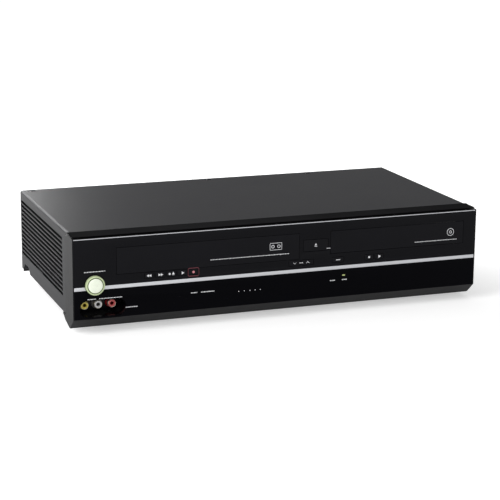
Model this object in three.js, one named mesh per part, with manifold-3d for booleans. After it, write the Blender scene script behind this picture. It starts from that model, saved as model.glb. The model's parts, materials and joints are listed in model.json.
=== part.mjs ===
// A player for discs and video cassettes, in millimetres, +Z up, front towards -Y, standing on z = 0.
import * as THREE from "three";
import { mergeVertices } from "three/addons/utils/BufferGeometryUtils.js";
import Module from "manifold-3d";

const wasm = await Module();
wasm.setup();

// Driving sizes of the whole object
const size = { width: 435, depth: 238, height: 99.5 };

// Places across the width and up the height keep their share of a player 435 wide and 99.5 high
const wide = (x) => (x / 435) * size.width;
const high = (z) => (z / 99.5) * size.height;

// Clearances and counts shared by many pieces
const gap = { fit: 0.3, running: 0.5, overrun: 2, weld: 1e-4 };
const facets = { round: 16, small: 8, corner: 2, disc: 32 };

// Power button, the piece that stands furthest forward
const power = {
  x: wide(-195.6),
  z: high(50.7),
  radius: 9.5,
  proud: 4,
  sunk: 1.2,
  stem: 4,
  flange: 5.8,
  flange_depth: 1.2,
};
const rear_jack_proud = 2.4;
const face_y = -size.depth / 2 + power.proud;
const rear_y = size.depth / 2 - rear_jack_proud;
const half = size.width / 2;

// Glossy front panel and the two silver strips
const panel = { side: 1.2, bottom: high(16.7), top: high(96.4), thickness: 2.6, corner: 2.5 };
const trim = { z: high(47.5), height: 3.6, thickness: 1.4, collar: 3 };
const line = { height: 0.9, thickness: 2.6 };

// Front bezel moulding: cheeks, sloping top strip and bevelled skirt
const bezel = {
  wall: 2.5,
  strip_depth: 23.8,
  cheek_depth: 31,
  bevel_depth: 13.9,
  bevel_bottom: 5,
  sole_depth: 16.4,
  tail_depth: 32.3,
  tail_z: 8.6,
  tail_end: 43.3,
  cheek_drop: 2.9,
  roof: 1.5,
  lip: 0.35,
};

// Folded sheet cover
const cover = {
  inset: 0.9,
  sheet: 0.8,
  edge: 2.6,
  bottom: 14.5,
  lug: 1.6,
  lug_width: 9,
  arch_width: 30,
  arch_rise: 6.3,
};
const louvre = {
  count: 13,
  pitch: high(4.73),
  lowest: high(31.8),
  height: 2.5,
  front: 44.5,
  back: 3.4,
};
const cover_screw = {
  places: [-205, -3, 117].map(wide),
  inset: 6.2,
  head: 3.6,
  stem: 1.4,
  length: 6,
  sunk: 0.2,
};

// Chassis pan, its posts and the feet
const pan = {
  sheet: 1,
  bottom: 5,
  tub: wide(200),
  shelf: 13.5,
  side: wide(214.6),
  flange: 24,
  front: 18.6,
  back: 2,
};
const post = { radius: 3.2, hole: 3.6 };
const foot = { x: wide(180), front: 47, back: 28, radius: 9, pad: 7.6, pad_height: 1.4 };

// Rear panel with its folded top
const rear = { sheet: 1, inset: 0.6, bottom: 9, side: wide(215.4), fold: 17, fold_drop: 0.4 };

// Cassette flap, hinged above its opening
const flap = {
  left: wide(-173.4),
  right: wide(17.8),
  bottom: high(59.8),
  top: high(86.2),
  thickness: 2.6,
  pivot_z: high(90.5),
  pivot_depth: 5,
  ear: 2.2,
  ear_width: 1.6,
  pin: 1.3,
  pin_length: 4,
  inner_pin: 7,
  bore: 1.65,
  boss_width: 5,
  boss: 3.4,
};
const flap_spring = { wire: 0.5, coil: 1.9, curls: 5, pitch: 1.05, steps: 8, sides: 5, leg: 3.5 };

// Disc tray, its front and the loader that carries it
const tray_front = {
  left: wide(52.5),
  right: wide(202.8),
  bottom: high(62.9),
  top: high(86.2),
  thickness: 3.2,
};
const tray = {
  width: wide(135),
  length: 148,
  bottom: high(68),
  thickness: 8,
  disc: wide(61),
  disc_depth: 2.4,
  small_disc: wide(41),
  small_depth: 1.6,
  disc_y: 70,
  slot: 38,
  slot_start: 19,
  lip: 1.5,
  rack_width: 3,
  rack_height: 2.4,
};
const loader = {
  wall: 3,
  front: 17,
  length: 160,
  floor: high(50),
  floor_thickness: 2,
  top: high(82),
  ledge: 4,
  ledge_height: 2.7,
  window_width: 64,
  window_front: 18,
  window_length: 116,
  post_inset: 8,
};
const bridge = { width: 26, thickness: 1.5, hole: 12.9, rim: 7 };
const clamper = { radius: 14.4, neck: 12.2, flange: 16.5, bottom: high(77.7), flange_height: 1.5 };

// Optical unit
const traverse = {
  width: 54,
  length: 104,
  thickness: 2,
  z: high(56),
  slot: 34,
  slot_start: 8,
  slot_length: 70,
  ear: 4,
  front: 22,
};
const turntable = {
  radius: 15,
  top: high(74.6),
  thickness: 2.6,
  hub: 7.2,
  hub_height: 2.4,
  shaft: 1.2,
  motor: 12,
  motor_height: 6,
};
const sled = {
  width: 42,
  length: 26,
  height: 6,
  z: high(61.5),
  start: 13,
  lens: 4,
  lens_height: 3.2,
};
const guide_rod = { radius: 1.5, x: 17, z: high(64), bracket: 5 };
const tray_gear = { radius: 9, hub: 3, thickness: 3, teeth: 20, tooth: 1, y: 12 };
const tray_motor = { radius: 11, length: 14, x: 34 };

// Keys: each is a cap flush with the face, a flange behind the wall and a stem towards the key board
const key = {
  width: wide(9.6),
  height: 5.6,
  z: high(55.7),
  corner: 1,
  flange: 0.6,
  flange_depth: 1,
  stem: 1.5,
  reach: 1.2,
};
const keys = {
  rewind_key: { x: wide(-140.3) },
  fast_forward_key: { x: wide(-128.9) },
  stop_eject_key: { x: wide(-117.5) },
  play_key: { x: wide(-106.1) },
  record_key: { x: wide(-94.7) },
  channel_down_key: { x: wide(13.2), width: wide(12.4) },
  channel_up_key: { x: wide(27.4), width: wide(12.4) },
  source_key: { x: wide(60.8), width: wide(12.8) },
  dvd_stop_key: { x: wide(95.6) },
  dvd_play_key: { x: wide(107) },
  open_close_key: { x: wide(36), z: high(72.9), width: wide(27), height: high(12) },
};
const key_board = {
  left: wide(-206),
  right: wide(118),
  bottom: high(42),
  top: high(58),
  depth: 12.4,
  thickness: 1.6,
};
const key_board_tab = { width: wide(22), top: high(79) };
const key_board_boss = { places: [-152, -60, 42, 84].map(wide), z: high(46), radius: 3 };

// Front socket recess and its block of three sockets
const recess = {
  x: wide(-187.5),
  z: high(26.7),
  width: wide(47),
  height: high(17.2),
  depth: 22,
  wall: 1.5,
  rim: 6,
};
const jack = {
  pitch: wide(13.9),
  x: wide(-188.4),
  shell: 4.15,
  bore: 1.6,
  proud: 7,
  block_width: wide(42),
  block_height: 13,
  block_depth: 9,
  bore_depth: 12,
};

// Deck plate that carries the tape mechanism
const deck = {
  left: wide(-188),
  right: wide(28),
  front: 42,
  back: 20,
  z: high(33.7),
  thickness: 1.6,
};
const deck_post = { inset: 9 };

// Drum, tilted towards the tape's entry
const drum = {
  x: wide(-77.8),
  y: 62,
  radius: 31,
  tilt_deg: 5.5,
  z: high(43.5),
  lower: 9,
  upper: 11,
  seat: 12,
  hub: 9,
  hub_height: 3,
};

// Reels, capstan and pinch roller
const reel = {
  spread: wide(46.2),
  y: -30,
  radius: 19,
  thickness: 3,
  rise: 2,
  hub: 4.6,
  hub_height: 15,
  vane_drop: 3,
  teeth: 24,
  tooth: 1.2,
  shaft: 1.6,
};
const capstan = {
  x: wide(-22),
  y: 30,
  radius: 1.5,
  top: high(70),
  wheel: 22,
  wheel_thickness: 5,
  wheel_drop: 2,
  bore: 2.2,
};
const pinch = {
  x: capstan.x + 22,
  y: 42,
  arm: 17.24,
  rest_deg: 239.6,
  swing_deg: 30,
  roller: 6,
  roller_height: 18,
  arm_width: 6,
  arm_thickness: 2,
  shaft: 1.6,
  bore: 2.2,
};

// Tape guides: two arms on rings about the drum's seat
const guide = {
  reach: 40,
  post: 2.5,
  top: high(62),
  ring: 16.5,
  ring_bore: 12.6,
  thickness: 1,
  rise: 0.4,
  step: 1.5,
  width: 7,
  start_deg: 60,
  swing_deg: 70,
};
const cam = {
  x: wide(-152),
  y: 72,
  radius: 18,
  teeth: 24,
  tooth: 1.2,
  thickness: 5,
  rise: 1,
  hub: 4,
  hub_height: 4,
  shaft: 1.5,
  turn_deg: 280,
};

// Cassette carriage and the slider that draws it in
const carriage = {
  inner: wide(190),
  wall: 1.2,
  bottom: high(59),
  top: high(85.8),
  front: 38,
  length: 95,
  shelf: 8,
  roof: 62,
  window: wide(118),
  window_length: 34,
  lift: 22,
  travel: 30,
};
const slider = { thickness: 3, height: 12, length: 84, z: high(48), gap: 0.6, rail: 1.6 };

// Boards and the rear connectors
const board = { z: 14, thickness: 1.6 };
const main_board = { left: wide(-196), right: wide(46), front: 26, back: 22 };
const chip = { width: 22, height: 2.6, places_share: [0.2, 0.42, 0.63, 0.84] };
const power_board = { left: wide(56), right: wide(196), depth: 50, back: 4 };
const transformer = { width: 34, depth: 28, height: 26, core: 8 };
const capacitor = { radius: 9, height: 22, places_share: [0.5, 0.68] };
const heat_sink = { width: 26, thickness: 2, height: 34, fins: 5, fin: 8 };
const tuner = {
  x: wide(20),
  width: 38,
  depth: 17,
  height: 24,
  socket: 4.8,
  socket_bore: 1,
  pitch: 16,
};
const rear_jacks = {
  x: wide(-70),
  pitch: 16,
  columns: 6,
  row_pitch: 17,
  z: high(30),
  shell: 4.15,
  bore: 1.6,
  depth: 14,
  margin: 8,
  bore_depth: 10,
};
const gland = {
  x: wide(170),
  z: high(28),
  width: 15,
  height: 11,
  corner: 3,
  flange: 2.5,
  flange_depth: 2,
  reach: 7,
  bore: 1.9,
};
const vent = { count: 9, width: 3, height: 22, pitch: 7, x: wide(60), z: high(62) };

// Finishes
const finish = (color, roughness, metalness) => new THREE.MeshStandardMaterial({ color, roughness, metalness });
const finishes = {
  cover: finish(0x3c3c3e, 0.5, 0.3),
  bezel: finish(0x2a2a2c, 0.5, 0),
  gloss: finish(0x0c0d10, 0.12, 0),
  silver: finish(0xc9cacc, 0.3, 0.8),
  lit: finish(0xe8ffd0, 0.3, 0),
  steel: finish(0xa9abae, 0.35, 0.9),
  dark_steel: finish(0x2c2c2e, 0.45, 0.8),
  plastic: finish(0x1b1b1d, 0.6, 0),
  grey_plastic: finish(0x6b6d70, 0.6, 0),
  white_plastic: finish(0xd8d6cf, 0.55, 0),
  rubber: finish(0x111111, 0.9, 0),
  board: finish(0x2e5a34, 0.6, 0),
  brown_board: finish(0x8a6a3a, 0.7, 0),
  lens: finish(0x5a3a8a, 0.1, 0),
};

// Frames that carry a flat outline onto the side (y, z), front (x, z) or flat (x, y) plane
const X = new THREE.Vector3(1, 0, 0);
const Y = new THREE.Vector3(0, 1, 0);
const Z = new THREE.Vector3(0, 0, 1);
const planes = {
  side: { basis: new THREE.Matrix4().makeBasis(Y, Z, X), normal: X, reversed: false },
  front: { basis: new THREE.Matrix4().makeBasis(X, Z, Y.clone().negate()), normal: Y, reversed: true },
  flat: { basis: new THREE.Matrix4().makeBasis(X, Y, Z), normal: Z, reversed: false },
};

// A closed geometry becomes a solid that can be joined and cut
function solid(geometry) {
  const bare = geometry.index ? geometry.toNonIndexed() : geometry.clone();
  bare.deleteAttribute("normal");
  bare.deleteAttribute("uv");
  const merged = mergeVertices(bare, gap.weld);
  return new wasm.Manifold(
    new wasm.Mesh({
      numProp: 3,
      vertProperties: merged.attributes.position.array,
      triVerts: new Uint32Array(merged.index.array),
    }),
  );
}

const join = (...solids) => solids.reduce((whole, next) => whole.add(next));
const cut = (whole, ...tools) => tools.reduce((left, tool) => left.subtract(tool), whole);

// A block between two corners, each axis given as [low, high]
function block([x0, x1], [y0, y1], [z0, z1]) {
  const geometry = new THREE.BoxGeometry(x1 - x0, y1 - y0, z1 - z0);
  return solid(geometry.translate((x0 + x1) / 2, (y0 + y1) / 2, (z0 + z1) / 2));
}

// An outline pushed along the normal of its plane from one level to another
function push(plane, shape, from, to, curveSegments = facets.corner) {
  const { basis, normal, reversed } = planes[plane];
  const geometry = new THREE.ExtrudeGeometry(shape, { depth: to - from, bevelEnabled: false, curveSegments });
  geometry.applyMatrix4(basis);
  const start = normal.clone().multiplyScalar(reversed ? to : from);
  return solid(geometry.translate(start.x, start.y, start.z));
}

function polygon(points) {
  return new THREE.Shape(points.map(([u, v]) => new THREE.Vector2(u, v)));
}

// A rectangle with round corners about a centre
function rounded(u, v, width, height, radius) {
  const shape = new THREE.Shape();
  const [left, right, low, high] = [u - width / 2, u + width / 2, v - height / 2, v + height / 2];
  shape.moveTo(left + radius, low);
  shape.lineTo(right - radius, low);
  shape.absarc(right - radius, low + radius, radius, -Math.PI / 2, 0, false);
  shape.lineTo(right, high - radius);
  shape.absarc(right - radius, high - radius, radius, 0, Math.PI / 2, false);
  shape.lineTo(left + radius, high);
  shape.absarc(left + radius, high - radius, radius, Math.PI / 2, Math.PI, false);
  shape.lineTo(left, low + radius);
  shape.absarc(left + radius, low + radius, radius, Math.PI, (3 * Math.PI) / 2, false);
  return shape;
}

// A round bar along "x", "y" or "z"; its centre is given in the two other axes, in their order
function rod(axis, radius, [from, to], [first, second], sides = facets.round) {
  const geometry = new THREE.CylinderGeometry(radius, radius, to - from, sides);
  const middle = (from + to) / 2;
  if (axis === "x") return solid(geometry.rotateZ(Math.PI / 2).translate(middle, first, second));
  if (axis === "y") return solid(geometry.translate(first, middle, second));
  return solid(geometry.rotateX(Math.PI / 2).translate(first, second, middle));
}

// A thin bar, of fewer facets
const pin = (axis, radius, range, place) => rod(axis, radius, range, place, facets.small);

// One tooth: shares of its pitch, each with its share of the tooth's height
const tooth_shares = [
  [0, 0],
  [0.3, 1],
  [0.5, 1],
  [0.8, 0],
];

// A toothed wheel on the flat plane
function gear(x, y, radius, tooth, teeth, [from, to]) {
  const points = [];
  for (let i = 0; i < teeth; i += 1) {
    for (const [share, reach] of tooth_shares) {
      const angle = ((i + share) / teeth) * 2 * Math.PI;
      const r = radius - tooth + reach * tooth;
      points.push([x + r * Math.cos(angle), y + r * Math.sin(angle)]);
    }
  }
  return push("flat", polygon(points), from, to);
}

const root = new THREE.Group();

// The solid becomes a named mesh in the object
function piece(name, whole, material, group = root) {
  const { numProp, vertProperties, triVerts } = whole.getMesh();
  const positions = new Float32Array((vertProperties.length / numProp) * 3);
  for (let i = 0; i < positions.length / 3; i += 1) {
    positions.set(vertProperties.subarray(i * numProp, i * numProp + 3), i * 3);
  }
  const geometry = new THREE.BufferGeometry()
    .setAttribute("position", new THREE.BufferAttribute(positions, 3))
    .setIndex(new THREE.BufferAttribute(triVerts, 1));
  const mesh = new THREE.Mesh(geometry, material);
  mesh.name = name;
  group.add(mesh);
}

// Levels that several pieces share
const over = gap.overrun;
const seat_y = face_y + panel.thickness;
const wall_y = seat_y + bezel.wall;
const line_top = panel.top + line.height;
const cover_front = face_y + bezel.strip_depth + gap.fit;
const cover_side_front = face_y + bezel.cheek_depth + gap.fit;
const sheet_under = size.height - cover.sheet;
const cheek_top = size.height - bezel.cheek_drop;
const whole_width = [-half - over, half + over];
const rear_face = rear_y - rear.inset;
const rear_inner = rear_face - rear.sheet;
const fold_top = sheet_under - rear.fold_drop;
const board_front = face_y + key_board.depth;
const arch_end = rear_y - cover.lug_width;
const arch_start = arch_end - cover.arch_width;

const spread = ([low, high], by) => [low - by, high + by];
const about = (middle, width) => [middle - width / 2, middle + width / 2];

// An arch of sheet, open below
function tunnel(side, top, low, radius) {
  const shape = new THREE.Shape();
  shape.moveTo(-side, low);
  shape.lineTo(-side, top - radius);
  shape.absarc(-side + radius, top - radius, radius, Math.PI, Math.PI / 2, true);
  shape.lineTo(side - radius, top);
  shape.absarc(side - radius, top - radius, radius, Math.PI / 2, 0, true);
  shape.lineTo(side, low);
  return shape;
}

// Places where a screw holds the cover to the rear fold
const screw_y = rear_y - cover_screw.inset;

function makeCover() {
  const side = half - cover.inset;
  const low = cover.bottom - cover.lug;
  const skin = push("front", tunnel(side, size.height, low, cover.edge), cover_front, rear_y);
  const hollow = tunnel(side - cover.sheet, sheet_under, low - over, cover.edge - cover.sheet);
  let whole = cut(
    skin,
    push("front", hollow, cover_front - over, rear_y + over),
    block(whole_width, [cover_front - over, cover_side_front], [low - over, cheek_top]),
    block(whole_width, [cover_front - over, arch_end], [low - over, cover.bottom]),
  );
  const arch_top = cover.bottom + cover.arch_rise;
  const arch = polygon([
    [arch_start, low - over],
    [arch_start, cover.bottom],
    [arch_start + cover.arch_rise, arch_top],
    [arch_end - cover.arch_rise, arch_top],
    [arch_end, cover.bottom],
    [arch_end, low - over],
  ]);
  whole = cut(whole, push("side", arch, -half - over, half + over));
  for (let i = 0; i < louvre.count; i += 1) {
    const z = louvre.lowest + i * louvre.pitch;
    const length = [face_y + louvre.front, rear_y - louvre.back];
    whole = cut(whole, block(whole_width, length, about(z, louvre.height)));
  }
  for (const x of cover_screw.places) {
    const hole = pin("z", cover_screw.head + gap.fit, [fold_top, size.height + over], [x, screw_y]);
    whole = cut(whole, hole);
  }
  piece("top_cover", whole, finishes.cover);
}

function makeCoverScrews() {
  const names = ["left", "middle", "right"];
  cover_screw.places.forEach((x, i) => {
    const head = pin("z", cover_screw.head, [fold_top, size.height - cover_screw.sunk], [x, screw_y]);
    const stem = pin("z", cover_screw.stem, [fold_top - cover_screw.length, sheet_under], [x, screw_y]);
    piece(`cover_screw_${names[i]}`, join(head, stem), finishes.dark_steel);
  });
}

// The pan's sheet section, stepped up at both sides
function panSection() {
  const s = pan.sheet;
  const right = [
    [pan.tub, pan.bottom],
    [pan.tub, pan.shelf],
    [pan.side, pan.shelf],
    [pan.side, pan.flange],
    [pan.side - s, pan.flange],
    [pan.side - s, pan.shelf + s],
    [pan.tub - s, pan.shelf + s],
    [pan.tub - s, pan.bottom + s],
  ];
  const left = right.map(([x, z]) => [-x, z]).reverse();
  return polygon([...right, ...left]);
}

const pan_top = pan.bottom + pan.sheet;
const deck_y = [face_y + deck.front, rear_y - deck.back];
const deck_x = [deck.left, deck.right];
const corners = ([x0, x1], [y0, y1], inset) => [
  [x0 + inset, y0 + inset],
  [x1 - inset, y0 + inset],
  [x0 + inset, y1 - inset],
  [x1 - inset, y1 - inset],
];
const deck_posts = corners(deck_x, deck_y, deck_post.inset);
const tray_x = (tray_front.left + tray_front.right) / 2;
const loader_side = tray.width / 2 + gap.running + loader.wall;
const loader_x = [tray_x - loader_side, tray_x + loader_side];
const loader_y = [face_y + loader.front, face_y + loader.front + loader.length];
const loader_posts = corners(loader_x, loader_y, loader.post_inset);
const main_x = [main_board.left, main_board.right];
const main_y = [face_y + main_board.front, rear_y - main_board.back];
const power_x = [power_board.left, power_board.right];
const power_y = [rear_y - power_board.back - power_board.depth, rear_y - power_board.back];
const board_top = board.z + board.thickness;
const vent_slots = [...Array(vent.count).keys()].map((i) => about(vent.x + i * vent.pitch, vent.width));

function makePan() {
  const y = [face_y + pan.front, rear_y - pan.back];
  let whole = push("front", panSection(), ...y);
  const raise = (places, top) => {
    const range = [pan_top - pan.sheet / 2, top];
    for (const place of places) whole = join(whole, pin("z", post.radius, range, place));
  };
  raise(deck_posts, deck.z - gap.fit);
  raise(loader_posts, loader.floor - gap.fit);
  raise(corners(main_x, main_y, post.radius), board.z - gap.fit);
  raise(corners(power_x, power_y, post.radius), board.z - gap.fit);
  const outside = pan.tub + over;
  for (const x of [[-half, -outside], [outside, half]]) {
    whole = cut(whole, block(x, [arch_start, arch_end], [pan.bottom, pan.flange + over]));
  }
  const slot_y = about((power_y[0] + power_y[1]) / 2, vent.height);
  const slots = vent_slots.map((x) => block(x, slot_y, [0, pan_top + over]));
  piece("chassis_base", cut(whole, ...slots), finishes.steel);
}

function makeFeet() {
  const rows = { front: face_y + foot.front, rear: rear_y - foot.back };
  const sides = { left: -foot.x, right: foot.x };
  for (const [row, y] of Object.entries(rows)) {
    for (const [side, x] of Object.entries(sides)) {
      const collar = rod("z", foot.radius, [foot.pad_height, pan.bottom], [x, y]);
      const pad = rod("z", foot.pad, [0, (foot.pad_height + pan.bottom) / 2], [x, y]);
      piece(`foot_${row}_${side}`, join(collar, pad), finishes.rubber);
    }
  }
}

// Rear connectors: places of the round sockets
const jack_columns = [...Array(rear_jacks.columns).keys()].map(
  (i) => rear_jacks.x + (i - (rear_jacks.columns - 1) / 2) * rear_jacks.pitch,
);
const jack_rows = [-1, 1].map((sign) => rear_jacks.z + (sign * rear_jacks.row_pitch) / 2);
const rear_places = jack_columns.flatMap((x) => jack_rows.map((z) => [x, z]));
const tuner_low = board_top + gap.fit;
const tuner_z = about(tuner_low + tuner.height / 2, tuner.pitch);
const tuner_places = tuner_z.map((z) => [tuner.x, z]);

function makeRearPanel() {
  const narrow = rear.side - cover.edge;
  const shoulder = fold_top - cover.edge;
  const plate = join(
    block([-rear.side, rear.side], [rear_inner, rear_face], [rear.bottom, shoulder]),
    block([-narrow, narrow], [rear_inner, rear_face], [shoulder - over, fold_top]),
  );
  const fold_z = [fold_top - rear.sheet, fold_top];
  const screw_z = about(fold_top, over * 2);
  const fold = block([-narrow, narrow], [rear_inner - rear.fold, rear_face], fold_z);
  const through = [rear_inner - over, rear_face + over];
  const opening = rounded(gland.x, gland.z, gland.width + gap.fit, gland.height + gap.fit, gland.corner);
  const holes = [
    ...rear_places.map((place) => pin("y", rear_jacks.shell + gap.fit, through, place)),
    ...tuner_places.map((place) => pin("y", tuner.socket + gap.fit, through, place)),
    ...vent_slots.map((x) => block(x, through, about(vent.z, vent.height))),
    ...cover_screw.places.map((x) => pin("z", cover_screw.stem + gap.fit, screw_z, [x, screw_y])),
    push("front", opening, ...through),
  ];
  piece("rear_panel", cut(join(plate, fold), ...holes), finishes.dark_steel);
}

function makeRearConnectors() {
  const behind = rear_inner - gap.fit;
  const tip = size.depth / 2;
  const width = spread([jack_columns[0], jack_columns.at(-1)], rear_jacks.margin);
  const height = [tuner_low, jack_rows[1] + rear_jacks.margin];
  const housing = block(width, [behind - rear_jacks.depth, behind], height);
  const shells = rear_places.map((place) => pin("y", rear_jacks.shell, [behind - over, tip], place));
  const bore_y = [tip - rear_jacks.bore_depth, tip + over];
  const shell_bores = rear_places.map((place) => pin("y", rear_jacks.bore, bore_y, place));
  piece("rear_jack_block", cut(join(housing, ...shells), ...shell_bores), finishes.plastic);
  const can_z = [tuner_low, tuner_low + tuner.height];
  const can = block(about(tuner.x, tuner.width), [behind - tuner.depth, behind], can_z);
  const sockets = tuner_places.map((place) => pin("y", tuner.socket, [behind - over, tip], place));
  const bores = tuner_places.map((place) => pin("y", tuner.socket_bore, [behind, tip + over], place));
  piece("tuner_block", cut(join(can, ...sockets), ...bores), finishes.steel);
  const body = rounded(gland.x, gland.z, gland.width, gland.height, gland.corner);
  const wider = (width) => width + gland.flange * 2;
  const lip = rounded(gland.x, gland.z, wider(gland.width), wider(gland.height), gland.corner);
  const bushing = join(
    push("front", body, rear_face - gland.reach, rear_face + gland.flange_depth / 2),
    push("front", lip, rear_face + gap.fit, rear_face + gland.flange_depth),
  );
  const bore = pin("y", gland.bore, [rear_face - gland.reach - over, tip + over], [gland.x, gland.z]);
  piece("cord_gland", cut(bushing, bore), finishes.rubber);
}

// Openings through the panel and the bezel wall behind it
const tray_opening = {
  x: spread([tray_front.left, tray_front.right], gap.fit),
  z: spread([tray_front.bottom, tray_front.top], gap.fit),
};
const flap_x = spread([flap.left, flap.right], gap.fit);
const flap_opening_low = flap.bottom - gap.fit;
const pivot_y = face_y + flap.pivot_depth;
const keyBox = (sizes) => ({ ...key, ...sizes });
const keyShape = (sizes, by) => {
  const k = keyBox(sizes);
  return rounded(k.x, k.z, k.width + 2 * by, k.height + 2 * by, k.corner);
};

function cutKeyHoles(whole, y) {
  const holes = Object.values(keys).map((sizes) => push("front", keyShape(sizes, gap.fit), ...y));
  return cut(whole, ...holes);
}

function makeBezel() {
  const lip_top = line_top + bezel.lip;
  const strip_back = face_y + bezel.strip_depth;
  const outline = polygon([
    [face_y, panel.bottom],
    [face_y, lip_top],
    [strip_back, size.height],
    [strip_back, cheek_top],
    [face_y + bezel.cheek_depth, cheek_top],
    [face_y + bezel.cheek_depth, cover.bottom - gap.fit],
    [face_y + bezel.tail_end, cover.bottom - gap.fit],
    [face_y + bezel.tail_depth, bezel.tail_z],
    [face_y + bezel.sole_depth, bezel.bevel_bottom],
    [face_y + bezel.bevel_depth, bezel.bevel_bottom],
  ]);
  const slope = (panel.bottom - bezel.bevel_bottom) / bezel.bevel_depth;
  const offset = bezel.wall * Math.hypot(1, slope);
  const inner = (y) => panel.bottom - slope * (y - face_y) + offset;
  const sole_y = face_y + bezel.sole_depth;
  const behind = face_y + bezel.tail_end + over;
  const hollow = polygon([
    [wall_y, inner(wall_y)],
    [wall_y, cheek_top - bezel.roof],
    [behind, cheek_top - bezel.roof],
    [behind, -over],
    [sole_y, -over],
    [sole_y, inner(sole_y)],
  ]);
  const seat = [face_y - over, seat_y];
  const through = [face_y - over, wall_y + over];
  let whole = cut(
    push("side", outline, -half, half),
    push("side", hollow, -half + bezel.wall, half - bezel.wall),
    block([-half + panel.side, half - panel.side], seat, [panel.bottom, line_top]),
  );
  const bosses = [flap_x[0] - flap.boss_width, flap_x[1]].map((x) =>
    block([x, x + flap.boss_width], [seat_y, pivot_y + flap.boss], about(flap.pivot_z, flap.boss * 2)),
  );
  const boss_y = [wall_y - bezel.wall / 2, board_front - gap.fit];
  const board_bosses = key_board_boss.places.map((x) =>
    pin("y", key_board_boss.radius, boss_y, [x, key_board_boss.z]),
  );
  whole = join(whole, ...bosses, ...board_bosses);
  const pin_bore = pin("x", flap.bore, spread(flap_x, flap.boss_width + over), [pivot_y, flap.pivot_z]);
  whole = cut(
    whole,
    push("front", cupShape(recess.wall + gap.fit), ...through, facets.corner * 2),
    block(flap_x, through, [flap_opening_low, flap.pivot_z + flap.boss]),
    block(tray_opening.x, through, tray_opening.z),
    pin("y", power.stem + gap.fit, through, [power.x, power.z]),
    pin_bore,
  );
  piece("front_bezel", cutKeyHoles(whole, through), finishes.bezel);
}

const jack_places = [-1, 0, 1].map((i) => jack.x + i * jack.pitch);
const cupShape = (by) => {
  const [width, height] = [recess.width + by * 2, recess.height + by * 2];
  return rounded(recess.x, recess.z, width, height, recess.height / 2);
};
const panel_side = half - panel.side;
const trim_z = about(trim.z, trim.height);
const collar = power.radius + gap.fit + trim.collar;

// The sockets' moulding fills the glossy front's lower left corner and carries its own mouth
const surround_x = [-panel_side, recess.x + recess.width / 2 + recess.rim];
const surround_z = [panel.bottom, trim_z[0]];

// A stretch of the glossy front, with room for the wide strip and the power button
function glossyFace(x, z) {
  const middle = (panel.bottom + panel.top) / 2;
  const shape = rounded(0, middle, panel_side * 2, panel.top - panel.bottom, panel.corner);
  const through = [face_y - over, seat_y + over];
  return cut(
    push("front", shape, face_y, seat_y).intersect(block(x, through, z)),
    rod("y", power.radius + gap.fit, through, [power.x, power.z]),
    block([-panel_side - over, panel_side + over], [face_y - over, face_y + trim.thickness], trim_z),
    rod("y", collar, [face_y + trim.thickness, seat_y + over], [power.x, power.z]),
    block(about(power.x, collar * 2), through, trim_z),
  );
}

function makePanel() {
  const through = [face_y - over, seat_y + over];
  const whole = cut(
    glossyFace([-panel_side, panel_side], [panel.bottom, panel.top]),
    block(flap_x, through, [flap_opening_low, flap.top + gap.fit]),
    block(tray_opening.x, through, tray_opening.z),
    block(
      [surround_x[0] - over, surround_x[1] + gap.fit],
      through,
      [surround_z[0] - over, surround_z[1] + gap.fit],
    ),
  );
  piece("front_panel", cutKeyHoles(whole, through), finishes.gloss);
}

function makeTrims() {
  const bar = block([-panel_side, panel_side], [face_y, face_y + trim.thickness], trim_z);
  const root_bar = block(about(power.x, collar * 2), [face_y, seat_y], trim_z);
  const ring = rod("y", collar, [face_y + trim.thickness, seat_y], [power.x, power.z]);
  const hole = rod("y", power.radius + gap.fit, [face_y - over, seat_y + over], [power.x, power.z]);
  const room = block([-panel_side, panel_side], [face_y, seat_y], [0, size.height]);
  piece("silver_trim_strip", cut(join(bar, root_bar, ring), hole).intersect(room), finishes.silver);
  const strip = block([-panel_side, panel_side], [face_y, face_y + line.thickness], [panel.top, line_top]);
  piece("silver_line_strip", strip, finishes.silver);
}

function makeFlap() {
  const plate_y = [face_y, face_y + flap.thickness];
  const plate = block([flap.left, flap.right], plate_y, [flap.bottom, flap.top]);
  const ear_y = [face_y + flap.thickness + gap.fit, pivot_y + flap.ear / 2];
  const pivot = [pivot_y, flap.pivot_z];
  const ears = [flap.left, flap.right - flap.ear_width].map((x) => {
    const side = [x, x + flap.ear_width];
    const web = block(side, [ear_y[0], pivot_y + flap.ear / 2], [flap.top - flap.ear * 2, flap.pivot_z]);
    return join(web, pin("x", flap.ear, side, pivot));
  });
  const root_y = [face_y + flap.thickness / 2, ear_y[1]];
  const root_block = (x) => block([x, x + flap.ear_width], root_y, [flap.top - flap.ear * 2, flap.top]);
  const left_pin = pin("x", flap.pin, [flap.left - flap.pin_length, flap.left + flap.inner_pin], pivot);
  const right_pin = pin("x", flap.pin, [flap.right, flap.right + flap.pin_length], pivot);
  const roots = [root_block(flap.left), root_block(flap.right - flap.ear_width)];
  piece("cassette_flap", join(plate, ...ears, ...roots, left_pin, right_pin), finishes.gloss);
}

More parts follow.
